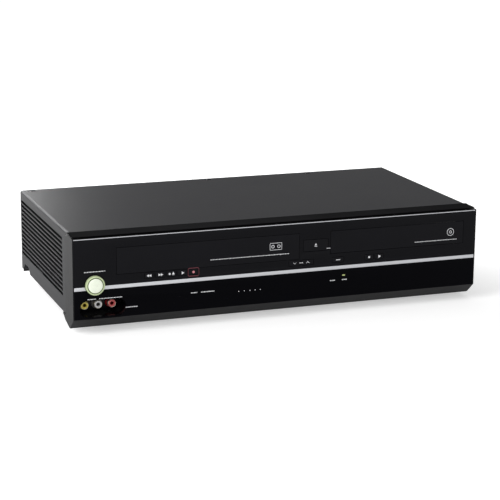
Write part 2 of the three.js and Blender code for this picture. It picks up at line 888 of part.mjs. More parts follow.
// The flap's spring: curls about the left pin, with a straight leg at each end
function makeFlapSpring() {
  const { wire, coil, curls, pitch, steps, sides, leg } = flap_spring;
  const start = flap.left + flap.ear_width + wire;
  const place = (turn) => {
    const angle = turn * 2 * Math.PI;
    const x = start + turn * pitch;
    return new THREE.Vector3(x, pivot_y + coil * Math.cos(angle), flap.pivot_z + coil * Math.sin(angle));
  };
  const path = [];
  for (let i = 0; i <= curls * steps; i += 1) path.push(place(i / steps));
  const first = path[0].clone();
  const last = path.at(-1).clone();
  path.unshift(first.clone().add(new THREE.Vector3(0, 0, -leg)));
  path.push(last.clone().add(new THREE.Vector3(0, 0, leg)));
  let least = Infinity;
  for (let i = 0; i < path.length; i += 1) {
    for (let j = i + steps - 1; j < path.length; j += 1) {
      least = Math.min(least, path[i].distanceTo(path[j]));
    }
  }
  console.log(`cassette_flap_spring: least gap between curls ${(least - wire).toFixed(2)} mm`);
  piece("cassette_flap_spring", tube(path, wire / 2, sides), finishes.steel);
}

// A tube through points, closed at both ends
function tube(path, radius, sides) {
  const positions = [];
  const indices = [];
  path.forEach((point, i) => {
    const before = path[Math.max(i - 1, 0)];
    const after = path[Math.min(i + 1, path.length - 1)];
    const along = after.clone().sub(before).normalize();
    const across = new THREE.Vector3().crossVectors(X, along).normalize();
    const up = new THREE.Vector3().crossVectors(along, across);
    for (let k = 0; k < sides; k += 1) {
      const angle = (k / sides) * 2 * Math.PI;
      const rim = point.clone().addScaledVector(across, radius * Math.cos(angle));
      rim.addScaledVector(up, radius * Math.sin(angle));
      positions.push(rim.x, rim.y, rim.z);
    }
  });
  const last = (path.length - 1) * sides;
  for (let i = 0; i < path.length - 1; i += 1) {
    for (let k = 0; k < sides; k += 1) {
      const a = i * sides + k;
      const b = i * sides + ((k + 1) % sides);
      indices.push(a, b, b + sides, a, b + sides, a + sides);
    }
  }
  for (let k = 1; k < sides - 1; k += 1) indices.push(0, k + 1, k, last, last + k, last + k + 1);
  const geometry = new THREE.BufferGeometry();
  geometry.setAttribute("position", new THREE.Float32BufferAttribute(positions, 3));
  geometry.setIndex(indices);
  return solid(geometry);
}

function makeKeys() {
  const flange_y = wall_y + gap.fit;
  for (const [name, sizes] of Object.entries(keys)) {
    const k = keyBox(sizes);
    const cap = push("front", keyShape(sizes, 0), face_y, flange_y + k.flange_depth / 2);
    const flange = push("front", keyShape(sizes, k.flange), flange_y, flange_y + k.flange_depth);
    const stem = pin("y", k.stem, [flange_y, board_front - k.reach], [k.x, k.z]);
    piece(name, join(cap, flange, stem), finishes.gloss);
  }
  const centre = [power.x, power.z];
  const cap = rod("y", power.radius, [face_y - power.proud, face_y + power.sunk], centre);
  const stem = pin("y", power.stem, [face_y, board_front - key.reach], centre);
  const flange = pin("y", power.flange, [flange_y, flange_y + power.flange_depth], centre);
  piece("power_button", join(cap, stem, flange), finishes.lit);
}

function makeKeyBoard() {
  const y = [board_front, board_front + key_board.thickness];
  const low = block([key_board.left, key_board.right], y, [key_board.bottom, key_board.top]);
  const open_key = keyBox(keys.open_close_key);
  const tab = block(about(open_key.x, key_board_tab.width), y, [key_board.bottom, key_board_tab.top]);
  piece("front_key_board", join(low, tab), finishes.brown_board);
}

// The sockets stand in a cup behind their own stretch of the glossy front
function makeFrontJacks() {
  const floor_y = face_y + recess.depth;
  const back_y = floor_y + recess.wall;
  const tip = floor_y - jack.proud;
  const sides = facets.corner * 2;
  const wall = push("front", cupShape(recess.wall), (face_y + seat_y) / 2, back_y, sides);
  const room = push("front", cupShape(0), face_y - over, floor_y, sides);
  const cup = cut(join(glossyFace(surround_x, surround_z), wall), room);
  const back = [back_y - recess.wall / 2, back_y + jack.block_depth];
  const blocks = block(about(jack.x, jack.block_width), back, about(recess.z, jack.block_height));
  const shells = jack_places.map((x) => rod("y", jack.shell, [tip, back_y], [x, recess.z]));
  const bore_y = [tip - over, tip + jack.bore_depth];
  const bores = jack_places.map((x) => pin("y", jack.bore, bore_y, [x, recess.z]));
  piece("front_jack_block", cut(join(cup, blocks, ...shells), ...bores), finishes.gloss);
}

// Disc side. The disc's centre is the axis of the turntable and the clamper.
const tray_side = tray.width / 2;
const tray_back_of_front = face_y + tray_front.thickness;
const disc_y = tray_back_of_front + tray.disc_y;
const tray_top = tray.bottom + tray.thickness;
const well_z = tray_top - tray.disc_depth;

function makeTray() {
  const x = [tray_x - tray_side, tray_x + tray_side];
  const y = [tray_back_of_front, tray_back_of_front + tray.length];
  const slot_x = about(tray_x, tray.slot);
  const small_z = well_z - tray.small_depth;
  const plate = cut(
    block(x, y, [tray.bottom, tray_top]),
    rod("z", tray.disc, [well_z, tray_top + over], [tray_x, disc_y], facets.disc),
    rod("z", tray.small_disc, [small_z, tray_top + over], [tray_x, disc_y], facets.disc),
    block(slot_x, [disc_y, y[1] + over], [tray.bottom - over, tray_top + over]),
    rod("z", tray.slot_start, [tray.bottom - over, tray_top + over], [tray_x, disc_y]),
  );
  const rack_x = [x[1] - loader.ledge - gap.running - tray.rack_width, x[1] - loader.ledge - gap.running];
  const rack_z = [tray.bottom - tray.rack_height, tray.bottom + tray.lip];
  const rack = block(rack_x, [y[0], disc_y + tray.disc], rack_z);
  piece("dvd_tray", join(plate, rack), finishes.plastic);
}

function makeTrayFront() {
  const x = [tray_front.left, tray_front.right];
  const z = [tray_front.bottom, tray_front.top];
  piece("tray_front", block(x, [face_y, tray_back_of_front], z), finishes.gloss);
}

const loader_floor_top = loader.floor + loader.floor_thickness;

function makeLoader() {
  const [x0, x1] = loader_x;
  const wall_z = [loader.floor, loader.top];
  const ledge_z = [tray.bottom - gap.fit - loader.ledge_height, tray.bottom - gap.fit];
  const walls = [x0, x1 - loader.wall].map((x) => block([x, x + loader.wall], loader_y, wall_z));
  const ledges = [x0 + loader.wall - gap.fit, x1 - loader.wall - loader.ledge - gap.fit].map((x) =>
    block([x, x + loader.ledge + gap.fit * 2], loader_y, ledge_z),
  );
  const back = block(loader_x, [loader_y[1] - loader.wall, loader_y[1]], [loader.floor, tray.bottom]);
  const floor = block(loader_x, loader_y, [loader.floor, loader_floor_top]);
  const window_y = loader_y[0] + loader.window_front;
  const window = block(
    about(tray_x, loader.window_width),
    [window_y, window_y + loader.window_length],
    spread([loader.floor, loader_floor_top], over),
  );
  const hinge_y = traverse_y[1] - traverse.ear;
  const hinge_z = traverse.z + traverse.thickness / 2;
  const hinges = [-1, 1].map((sign) => {
    const x = tray_x + sign * (traverse.width / 2 + traverse.ear);
    const z = [loader.floor, hinge_z + traverse.ear / 2];
    return block(about(x, traverse.ear), about(hinge_y, traverse.ear * 2), z);
  });
  const hinge_bore = pin("x", traverse.thickness / 2 + gap.fit, spread(loader_x, over), [hinge_y, hinge_z]);
  const between = block(about(tray_x, loader.window_width + traverse.ear * 2), loader_y, wall_z);
  const frame = cut(join(...walls, ...ledges, back, floor), window);
  piece("loader_frame", cut(join(frame, ...hinges), hinge_bore.intersect(between)), finishes.plastic);
}

function makeClamp() {
  const z = [loader.top + gap.fit, loader.top + gap.fit + bridge.thickness];
  const span = block(loader_x, about(disc_y, bridge.width), z);
  const middle = rod("z", bridge.hole + bridge.rim, z, [tray_x, disc_y]);
  const hole = rod("z", bridge.hole, [z[0] - over, z[1] + over], [tray_x, disc_y]);
  piece("clamp_bridge", cut(join(span, middle), hole), finishes.steel);
  const rest = z[1] + gap.fit;
  const puck = rod("z", clamper.radius, [clamper.bottom, z[0] - gap.fit], [tray_x, disc_y]);
  const neck = rod("z", clamper.neck, [clamper.bottom, rest + clamper.flange_height], [tray_x, disc_y]);
  const flange = rod("z", clamper.flange, [rest, rest + clamper.flange_height], [tray_x, disc_y]);
  piece("disc_clamper", join(puck, neck, flange), finishes.grey_plastic);
}

const traverse_y = [disc_y - traverse.front, disc_y - traverse.front + traverse.length];
const traverse_top = traverse.z + traverse.thickness;
const sled_y = [disc_y + sled.start, disc_y + sled.start + sled.length];
const rod_y = [disc_y + traverse.slot_start, disc_y + traverse.slot_start + traverse.slot_length];
const rod_places = {
  left: [tray_x - guide_rod.x, guide_rod.z],
  right: [tray_x + guide_rod.x, guide_rod.z],
};
const rodBores = (range) =>
  Object.values(rod_places).map((place) => pin("y", guide_rod.radius + gap.fit, range, place));

function makeTraverse() {
  const plate = block(about(tray_x, traverse.width), traverse_y, [traverse.z, traverse_top]);
  const through = [traverse.z - over, traverse_top + over];
  const slot = block(about(tray_x, traverse.slot - guide_rod.bracket * 2), rod_y, through);
  const motor_hole = pin("z", turntable.shaft + gap.fit, through, [tray_x, disc_y]);
  const hinge = [traverse_y[1] - traverse.ear, traverse.z + traverse.thickness / 2];
  const ears = [-1, 1].map((sign) => {
    const inner = tray_x + sign * (traverse.width / 2 - gap.fit);
    const outer = inner + sign * traverse.ear;
    return pin("x", traverse.thickness / 2, [Math.min(inner, outer), Math.max(inner, outer)], hinge);
  });
  const bracket_z = [traverse.z, guide_rod.z + guide_rod.bracket / 2];
  const brackets = rod_y.flatMap((y) =>
    Object.values(rod_places).map(([x]) =>
      block(about(x, guide_rod.bracket), about(y, guide_rod.bracket), bracket_z),
    ),
  );
  const bores = rodBores(spread(rod_y, guide_rod.bracket));
  const whole = cut(join(plate, ...ears, ...brackets), slot, motor_hole, ...bores);
  piece("traverse_plate", whole, finishes.steel);
}

function makeOptics() {
  const top = turntable.top;
  const low = top - turntable.thickness;
  const motor_z = [traverse_top + gap.fit, traverse_top + gap.fit + turntable.motor_height];
  const disc = rod("z", turntable.radius, [low, top], [tray_x, disc_y]);
  const hub = rod("z", turntable.hub, [low, top + turntable.hub_height], [tray_x, disc_y]);
  const shaft = pin("z", turntable.shaft, [traverse.z, top], [tray_x, disc_y]);
  const rotor = rod("z", turntable.motor, [motor_z[0], low], [tray_x, disc_y]);
  piece("turntable", join(disc, hub, shaft, rotor), finishes.dark_steel);
  const body = block(about(tray_x, sled.width), sled_y, [sled.z, sled.z + sled.height]);
  const lens_place = [tray_x, sled_y[0] + sled.length / 2];
  const lens = pin("z", sled.lens, [sled.z, sled.z + sled.height + sled.lens_height], lens_place);
  piece("pickup_sled", cut(join(body, lens), ...rodBores(spread(sled_y, over))), finishes.grey_plastic);
  const ends = spread(rod_y, guide_rod.bracket / 2);
  for (const [side, place] of Object.entries(rod_places)) {
    piece(`sled_guide_rod_${side}`, pin("y", guide_rod.radius, ends, place), finishes.steel);
  }
}

const rack_middle = tray_x + tray_side - loader.ledge - gap.running - tray.rack_width / 2;
const tray_gear_x = rack_middle - tray.rack_width / 2 - gap.fit - tray_gear.radius;
const tray_gear_place = [tray_gear_x, loader_y[0] + tray_gear.y];

function makeTrayDrive() {
  const z = [tray.bottom - tray.rack_height, tray.bottom - gap.fit];
  const wheel = gear(...tray_gear_place, tray_gear.radius, tray_gear.tooth, tray_gear.teeth, z);
  const shaft = pin("z", tray_gear.hub, [loader_floor_top + gap.fit, z[1]], tray_gear_place);
  piece("tray_gear", join(wheel, shaft), finishes.white_plastic);
  const motor_place = [tray_gear_place[0] - tray_motor.x, tray_gear_place[1]];
  const motor_z = [loader_floor_top - tray_motor.length, loader.floor - gap.fit];
  piece("tray_motor", rod("z", tray_motor.radius, motor_z, motor_place), finishes.steel);
}

// Tape side
const deck_top = deck.z + deck.thickness;
const reel_places = { supply_reel: drum.x - reel.spread, take_up_reel: drum.x + reel.spread };
const pinch_rest = (pinch.rest_deg * Math.PI) / 180;
const roller_place = [
  pinch.x + pinch.arm * Math.cos(pinch_rest),
  pinch.y + pinch.arm * Math.sin(pinch_rest),
];

// The slider runs in a rail folded up from the deck's left side
const slider_side = about((flap.left + flap.right) / 2, carriage.inner)[0] - carriage.wall - slider.gap;
const carriage_y = [face_y + carriage.front, face_y + carriage.front + carriage.length];
const slider_y = about((carriage_y[0] + carriage_y[1]) / 2, slider.length);

function makeDeck() {
  const rail_side = slider_side - slider.thickness - gap.fit;
  const rail_y = [slider_y[0], slider_y[1] + carriage.travel];
  const rail = block([rail_side - slider.rail, rail_side], rail_y, [deck.z, slider.z + slider.height]);
  const ledge_z = [slider.z - gap.fit - slider.rail, slider.z - gap.fit];
  const ledge = block([rail_side - slider.rail, slider_side], rail_y, ledge_z);
  let whole = join(block(deck_x, deck_y, [deck.z, deck_top]), rail, ledge);
  const through = [deck.z - over, deck_top + over];
  const holes = [
    [capstan.bore, [capstan.x, capstan.y]],
    [cam.shaft + gap.fit, [cam.x, cam.y]],
    [pinch.shaft + gap.fit, [pinch.x, pinch.y]],
    ...Object.values(reel_places).map((x) => [reel.shaft + gap.fit, [x, reel.y]]),
  ];
  for (const [radius, place] of holes) whole = cut(whole, pin("z", radius, through, place));
  piece("deck_plate", whole, finishes.steel);
}

// Turns a solid about the drum's cross axis, which leans the drum towards the front
function tilted(whole) {
  const tilt = new THREE.Matrix4().makeRotationX((drum.tilt_deg * Math.PI) / 180);
  const out = new THREE.Matrix4().makeTranslation(drum.x, drum.y, drum.z);
  const back = new THREE.Matrix4().makeTranslation(-drum.x, -drum.y, -drum.z);
  return whole.transform(out.multiply(tilt).multiply(back).elements);
}

function makeDrum() {
  const place = [drum.x, drum.y];
  const lower = tilted(rod("z", drum.radius, [drum.z, drum.z + drum.lower], place, facets.disc));
  const seat = rod("z", drum.seat, [deck_top + gap.fit / 2, drum.z + drum.lower / 2], place);
  piece("lower_drum", join(lower, seat), finishes.steel);
  const low = drum.z + drum.lower + gap.fit;
  const wheel = rod("z", drum.radius, [low, low + drum.upper], place, facets.disc);
  const hub = rod("z", drum.hub, [low, low + drum.upper + drum.hub_height], place);
  piece("upper_drum", tilted(join(wheel, hub)), finishes.steel);
}

function makeReels() {
  for (const [name, x] of Object.entries(reel_places)) {
    const place = [x, reel.y];
    const low = deck_top + reel.rise;
    const table = gear(x, reel.y, reel.radius, reel.tooth, reel.teeth, [low, low + reel.thickness]);
    const hub = pin("z", reel.hub, [low, low + reel.hub_height], place);
    const shaft = pin("z", reel.shaft, [deck.z, low + reel.thickness], place);
    const vane_z = [low, low + reel.hub_height - reel.vane_drop];
    const vane = block(about(x, (reel.hub + reel.tooth) * 2), about(reel.y, reel.tooth), vane_z);
    piece(name, join(table, hub, shaft, vane), finishes.plastic);
  }
}

function makeCapstan() {
  const place = [capstan.x, capstan.y];
  const wheel_top = deck.z - capstan.wheel_drop;
  const wheel_low = wheel_top - capstan.wheel_thickness;
  const shaft = pin("z", capstan.radius, [wheel_low, capstan.top], place);
  const wheel = rod("z", capstan.wheel, [wheel_low, wheel_top], place, facets.disc);
  piece("capstan_flywheel", join(shaft, wheel), finishes.steel);
  const arm_z = [deck_top + gap.fit, deck_top + gap.fit + pinch.arm_thickness];
  const pivot = [pinch.x, pinch.y];
  const bar = new THREE.BoxGeometry(pinch.arm, pinch.arm_width, pinch.arm_thickness);
  bar.translate(pinch.arm / 2, 0, (arm_z[0] + arm_z[1]) / 2);
  bar.rotateZ(pinch_rest).translate(pinch.x, pinch.y, 0);
  const roller_low = arm_z[1] + gap.fit;
  const roller_top = roller_low + pinch.roller_height;
  const arm = join(
    solid(bar),
    pin("z", pinch.arm_width / 2, arm_z, pivot),
    pin("z", pinch.arm_width / 2, arm_z, roller_place),
    pin("z", pinch.shaft, [deck.z, arm_z[1] + pinch.roller], pivot),
    pin("z", pinch.shaft, [arm_z[0], roller_top + pinch.arm_thickness], roller_place),
  );
  piece("pinch_arm", arm, finishes.steel);
  const roller = cut(
    rod("z", pinch.roller, [roller_low, roller_top], roller_place),
    pin("z", pinch.bore, [roller_low - over, roller_top + over], roller_place),
  );
  piece("pinch_roller", roller, finishes.rubber);
}

// A tape guide: a ring about the drum's seat, a bar and an upright post
function makeGuide(name, level, sign) {
  const angle = -Math.PI / 2 + (sign * (Math.PI / 2 - (guide.start_deg * Math.PI) / 180));
  const low = deck_top + guide.rise + level * guide.step;
  const z = [low, low + guide.thickness];
  const place = [drum.x, drum.y];
  const bar = new THREE.BoxGeometry(guide.reach - guide.ring_bore, guide.width, guide.thickness);
  bar.translate((guide.reach + guide.ring_bore) / 2, 0, (z[0] + z[1]) / 2);
  bar.rotateZ(angle).translate(drum.x, drum.y, 0);
  const post_place = [drum.x + guide.reach * Math.cos(angle), drum.y + guide.reach * Math.sin(angle)];
  const arm = join(rod("z", guide.ring, z, place), solid(bar), pin("z", guide.width / 2, z, post_place));
  const hole = rod("z", guide.ring_bore, spread(z, over), place);
  const stud = pin("z", guide.post, [z[0], guide.top], post_place);
  piece(name, join(cut(arm, hole), stud), finishes.steel);
}

function makeCam() {
  const z = [deck_top + cam.rise, deck_top + cam.rise + cam.thickness];
  const wheel = gear(cam.x, cam.y, cam.radius, cam.tooth, cam.teeth, z);
  const hub = pin("z", cam.hub, [z[0], z[1] + cam.hub_height], [cam.x, cam.y]);
  const shaft = pin("z", cam.shaft, [deck.z, z[1]], [cam.x, cam.y]);
  piece("cam_gear", join(wheel, hub, shaft), finishes.white_plastic);
}

const carriage_x = about((flap.left + flap.right) / 2, carriage.inner);

function makeCarriage() {
  const [x0, x1] = carriage_x;
  const wall = carriage.wall;
  const z = [carriage.bottom, carriage.top];
  const outer = [x0 - wall, x1 + wall];
  const sides = [block([x0 - wall, x0], carriage_y, z), block([x1, x1 + wall], carriage_y, z)];
  const shelf_z = [carriage.bottom, carriage.bottom + wall];
  const shelves = [
    block([x0 - wall, x0 + carriage.shelf], carriage_y, shelf_z),
    block([x1 - carriage.shelf, x1 + wall], carriage_y, shelf_z),
  ];
  const roof_y = [carriage_y[0], carriage_y[0] + carriage.roof];
  const roof = block(outer, roof_y, [carriage.top, carriage.top + wall]);
  const window_y = about((roof_y[0] + roof_y[1]) / 2, carriage.window_length);
  const window_z = [carriage.top - over, carriage.top + over * 2];
  const window = block(about((x0 + x1) / 2, carriage.window), window_y, window_z);
  piece("cassette_carriage", cut(join(...sides, ...shelves, roof), window), finishes.steel);
  const bar_z = [slider.z, slider.z + slider.height];
  const bar = block([slider_side - slider.thickness, slider_side], slider_y, bar_z);
  piece("carriage_slider", bar, finishes.white_plastic);
}

// Boards
const along = ([low, high], share) => low + share * (high - low);
const board_z = [board.z, board_top];

function makeMainBoard() {
  const middle_y = along(main_y, 0.5);
  const chips = chip.places_share.map((share) => {
    const x = about(along(main_x, share), chip.width);
    return block(x, about(middle_y, chip.width), [board.z, board_top + chip.height]);
  });
  const holes = deck_posts.map((place) => pin("z", post.hole, spread(board_z, over), place));
  const whole = cut(join(block(main_x, main_y, board_z), ...chips), ...holes);
  piece("main_board", whole, finishes.board);
}

function makePowerBoard() {
  const middle_y = along(power_y, 0.5);
  const core_x = power_x[0] + transformer.width;
  const { width, depth, height, core } = transformer;
  const coil = block(about(core_x, width), about(middle_y, depth), [board.z, board_top + height]);
  const core_z = [board.z, board_top + height - core / 2];
  const iron = block(about(core_x, width - core), about(middle_y, depth + core), core_z);
  const cans = capacitor.places_share.map((share) =>
    rod("z", capacitor.radius, [board.z, board_top + capacitor.height], [along(power_x, share), middle_y]),
  );
  const sink_x = about(power_x[1] - heat_sink.width, heat_sink.width);
  const sink_z = [board.z, board_top + heat_sink.height];
  const web = block(sink_x, about(middle_y, heat_sink.thickness), sink_z);
  const fins = [...Array(heat_sink.fins).keys()].map((i) => {
    const x = along([sink_x[0], sink_x[1] - heat_sink.thickness], i / (heat_sink.fins - 1));
    return block([x, x + heat_sink.thickness], about(middle_y, heat_sink.fin * 2), sink_z);
  });
  const whole = join(block(power_x, power_y, board_z), coil, iron, ...cans, web, ...fins);
  piece("power_supply_board", whole, finishes.brown_board);
}

makeCover();
makeCoverScrews();
makePan();
makeFeet();
makeRearPanel();
makeRearConnectors();
makeBezel();
makePanel();
makeTrims();
makeFlap();
makeFlapSpring();
makeKeys();
makeKeyBoard();
makeFrontJacks();
makeTray();
makeTrayFront();
makeLoader();
makeClamp();
makeTraverse();
makeOptics();
makeTrayDrive();
makeDeck();
makeDrum();
makeReels();
makeCapstan();
makeGuide("guide_arm_left", 0, -1);
makeGuide("guide_arm_right", 1, 1);
makeCam();
makeCarriage();
makeMainBoard();
makePowerBoard();

export default root;
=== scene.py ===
"""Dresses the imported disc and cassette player: finishes, fine pieces, light, floor and camera.

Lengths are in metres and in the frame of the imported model: +Z up, front towards -Y.
"""

import json
import logging
import math
from dataclasses import dataclass
from enum import Enum
from typing import Iterable, Sequence

import bmesh
import bpy
from mathutils import Matrix, Vector


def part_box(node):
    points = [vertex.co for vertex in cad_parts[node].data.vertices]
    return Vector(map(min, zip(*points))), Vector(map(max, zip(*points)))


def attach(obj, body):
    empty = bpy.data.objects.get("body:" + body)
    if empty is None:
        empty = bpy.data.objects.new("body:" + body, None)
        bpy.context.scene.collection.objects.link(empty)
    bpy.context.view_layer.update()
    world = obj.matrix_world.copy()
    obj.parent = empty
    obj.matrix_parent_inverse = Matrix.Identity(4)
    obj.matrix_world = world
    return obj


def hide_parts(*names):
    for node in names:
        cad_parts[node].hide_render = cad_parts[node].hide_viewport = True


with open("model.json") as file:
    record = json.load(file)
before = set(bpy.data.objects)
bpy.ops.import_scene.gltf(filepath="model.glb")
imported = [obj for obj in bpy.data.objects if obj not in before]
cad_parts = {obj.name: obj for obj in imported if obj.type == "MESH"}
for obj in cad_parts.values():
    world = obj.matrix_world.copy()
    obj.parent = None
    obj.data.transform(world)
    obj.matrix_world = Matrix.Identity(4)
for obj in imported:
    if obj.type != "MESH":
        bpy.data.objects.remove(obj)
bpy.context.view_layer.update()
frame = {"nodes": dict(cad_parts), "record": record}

logging.basicConfig(level=logging.INFO, format="%(message)s")
log = logging.getLogger("player")

MM = 0.001
# A length under the first is none, and vertices nearer than the second are merged.
NIL = 1e-7
WELD = 0.002 * MM
# A normal whose largest part is over this is square to an axis.
SQUARE = 0.99999
# Radians: faces that meet under the first two are one, an edge over the third stays sharp.
FOLD_ANGLE = 0.002
FLAT_ANGLE = 0.005
SHARP_ANGLE = 0.6
# A face with more sides than this is cut into triangles before its edges are rounded.
MANY_SIDES = 8
# Facets round small, middling and wide turned pieces.
FACETS_SMALL = 28
FACETS = 40
FACETS_WIDE = 64
Color = tuple[float, float, float]
Point = tuple[float, float, float]


def placed(name: str, data: bpy.types.ID) -> bpy.types.Object:
    """Adds an object to the scene.

    Args:
        name: The object's name.
        data: Its mesh, curve, lamp or camera.

    Returns:
        The object.
    """
    thing = bpy.data.objects.new(name, data)
    bpy.context.scene.collection.objects.link(thing)
    return thing


def plug(target: bpy.types.NodeSocket, value: object) -> None:
    """Links an output to an input, or sets the input's own value.

    Args:
        target: The input.
        value: A value, a colour or an output.
    """
    source = value.link if isinstance(value, Socket) else value
    if isinstance(source, bpy.types.NodeSocket):
        target.id_data.links.new(source, target)
    elif isinstance(source, tuple) and len(source) == 3 and target.type == "RGBA":
        target.default_value = (*source, 1.0)
    else:
        target.default_value = source


def add_node(
    tree: bpy.types.NodeTree, kind: str, settings: dict | None = None, inputs: dict | None = None
) -> bpy.types.Node:
    """Adds one node to a tree.

    Args:
        tree: The tree.
        kind: The node's type.
        settings: Its settings, set first.
        inputs: Values, colours or outputs for its inputs.

    Returns:
        The node.
    """
    node = tree.nodes.new(kind)
    for key, value in (settings or {}).items():
        setattr(node, key, value)
    for key, value in (inputs or {}).items():
        plug(node.inputs[key], value)
    return node


class Socket:
    """A number output of a shader tree; Python operators on it add Math nodes."""

    def __init__(self, link: bpy.types.NodeSocket) -> None:
        """Keeps the output that holds the value."""
        self.link = link

    def math(self, operation: str, *others: "float | Socket") -> "Socket":
        """Adds one Math node on this value.

        Args:
            operation: Blender's name of the operation.
            others: The further operands.

        Returns:
            The result.
        """
        operands = dict(enumerate((self, *others)))
        node = add_node(self.link.id_data, "ShaderNodeMath", {"operation": operation}, operands)
        return Socket(node.outputs[0])

    def __add__(self, other: "float | Socket") -> "Socket":
        """Returns self + other."""
        return self.math("ADD", other)

    def __mul__(self, other: "float | Socket") -> "Socket":
        """Returns self * other."""
        return self.math("MULTIPLY", other)


class Painter:
    """Builds one material's tree around its Principled shader."""

    def __init__(self, name: str) -> None:
        """Starts an empty material.

        Args:
            name: The material's name.
        """
        self.material = bpy.data.materials.new(name)
        self.material.use_nodes = True
        self.tree = self.material.node_tree
        self.shader = next(n for n in self.tree.nodes if n.type == "BSDF_PRINCIPLED")
        self.place = add_node(self.tree, "ShaderNodeTexCoord").outputs["Object"]

    def set(self, **inputs: object) -> None:
        """Sets or links the Principled shader's sockets; an underscore stands for a space."""
        for key, value in inputs.items():
            plug(self.shader.inputs[key.replace("_", " ")], value)

    def number(self, kind: str, output: str, inputs: dict, **settings: object) -> Socket:
        """Adds a node and returns one of its outputs as a value for sums."""
        return Socket(add_node(self.tree, kind, settings, inputs).outputs[output])

    def stretched(self, scale: Point) -> bpy.types.NodeSocket:
        """Returns object coordinates scaled by axis."""
        inputs = {"Vector": self.place, "Scale": scale}
        return add_node(self.tree, "ShaderNodeMapping", None, inputs).outputs[0]

    def noise(self, size: float, detail: float = 4.0, where: bpy.types.NodeSocket | None = None) -> Socket:
        """Returns noise from 0 to 1 whose blobs are about size metres wide, here or elsewhere."""
        inputs = {"Vector": where or self.place, "Scale": 1.0 / size, "Detail": detail, "Roughness": 0.6}
        return self.number("ShaderNodeTexNoise", "Fac", inputs)

    def cells(self, size: float) -> Socket:
        """Returns the distance to scattered points about size metres apart."""
        inputs = {"Vector": self.place, "Scale": 1.0 / size}
        return self.number("ShaderNodeTexVoronoi", "Distance", inputs)

    def spread(self, value: Socket, low: float, high: float) -> Socket:
        """Maps a value from 0..1 to low..high."""
        return value * (high - low) + low

    def blend(
        self, share: Socket, first: Color | bpy.types.NodeSocket, second: Color
    ) -> bpy.types.NodeSocket:
        """Mixes two colours by a share."""
        inputs = {"Factor": share, 6: first, 7: second}
        return add_node(self.tree, "ShaderNodeMix", {"data_type": "RGBA"}, inputs).outputs[2]

    def bump(self, height: Socket, depth: float) -> None:
        """Feeds a height into the shader's normal, depth metres high."""
        inputs = {"Height": height, "Distance": depth, "Strength": 1.0}
        self.set(Normal=add_node(self.tree, "ShaderNodeBump", None, inputs).outputs[0])


@dataclass(frozen=True)
class Finish:
    """A surface finish; its subclasses say how the surface is painted.

    Attributes:
        name: The material's name.
        color: The base colour, linear.
        roughness: The roughness in the middle of its spread.
        slot: The record's material slot; not used.
        shades: The factors of the colour's darkest and lightest places.
    """

    name: str
    color: Color
    roughness: float
    slot: str
    shades: tuple[float, float] = (0.9, 1.12)

    def material(self) -> bpy.types.Material:
        """Returns the finish's material, made once.

        Returns:
            The material.
        """
        made = bpy.data.materials.get(self.name)
        if made is None:
            painter = Painter(self.name)
            self.paint(painter)
            made = painter.material
        return made

    def paint(self, painter: Painter) -> None:
        """Paints the tree."""
        raise NotImplementedError

    def tones(self) -> tuple[Color, ...]:
        """Returns the colour's darkest and lightest tone."""
        return tuple(tuple(min(1.0, c * factor) for c in self.color) for factor in self.shades)


@dataclass(frozen=True)
class Moulded(Finish):
    """Moulded plastic with a fine spark-eroded grain.

    Attributes:
        grain: The grain's width.
        depth: The grain's depth.
        gloss: The specular level.
        mottle: The width of the faint mottling.
        spread: How far the roughness strays.
        cells: The share of round cells in the grain.
    """

    grain: float = 0.35 * MM
    depth: float = 0.012 * MM
    gloss: float = 0.4
    mottle: float = 18 * MM
    spread: float = 0.05
    cells: float = 0.6

    def paint(self, painter: Painter) -> None:
        """Paints grain, faint mottling and handling marks.

        Args:
            painter: The material's painter.
        """
        grain = painter.cells(self.grain) * self.cells + painter.noise(self.grain * 2) * (1 - self.cells)
        mottle = painter.noise(self.mottle)
        painter.set(
            Base_Color=painter.blend(mottle, *self.tones()),
            Roughness=painter.spread(mottle, self.roughness - self.spread, self.roughness + self.spread),
            Specular_IOR_Level=self.gloss,
        )
        painter.bump(grain, self.depth)


@dataclass(frozen=True)
class Gloss(Finish):
    """Polished plastic with a faint flow ripple and hairline dust.

    Attributes:
        level: The specular level.
        ripple: The depth of the ripple.
        wave: The ripple's width.
        dust: The dust's width.
        haze: How much rougher the dust is.
    """

    shades: tuple[float, float] = (0.8, 1.25)
    level: float = 0.3
    ripple: float = 0.004 * MM
    wave: float = 60 * MM
    dust: float = 0.5 * MM
    haze: float = 0.2

    def paint(self, painter: Painter) -> None:
        """Paints the ripple and the slight unevenness of the polish.

        Args:
            painter: The material's painter.
        """
        wide = painter.noise(self.wave, 2.0)
        dust = painter.noise(self.dust, 3.0).math("POWER", 8.0)
        polish = painter.spread(wide, self.roughness * 0.8, self.roughness * 1.3)
        painter.set(
            Base_Color=painter.blend(wide, *self.tones()),
            Roughness=polish + dust * self.haze,
            Specular_IOR_Level=self.level,
        )
        painter.bump(wide, self.ripple)


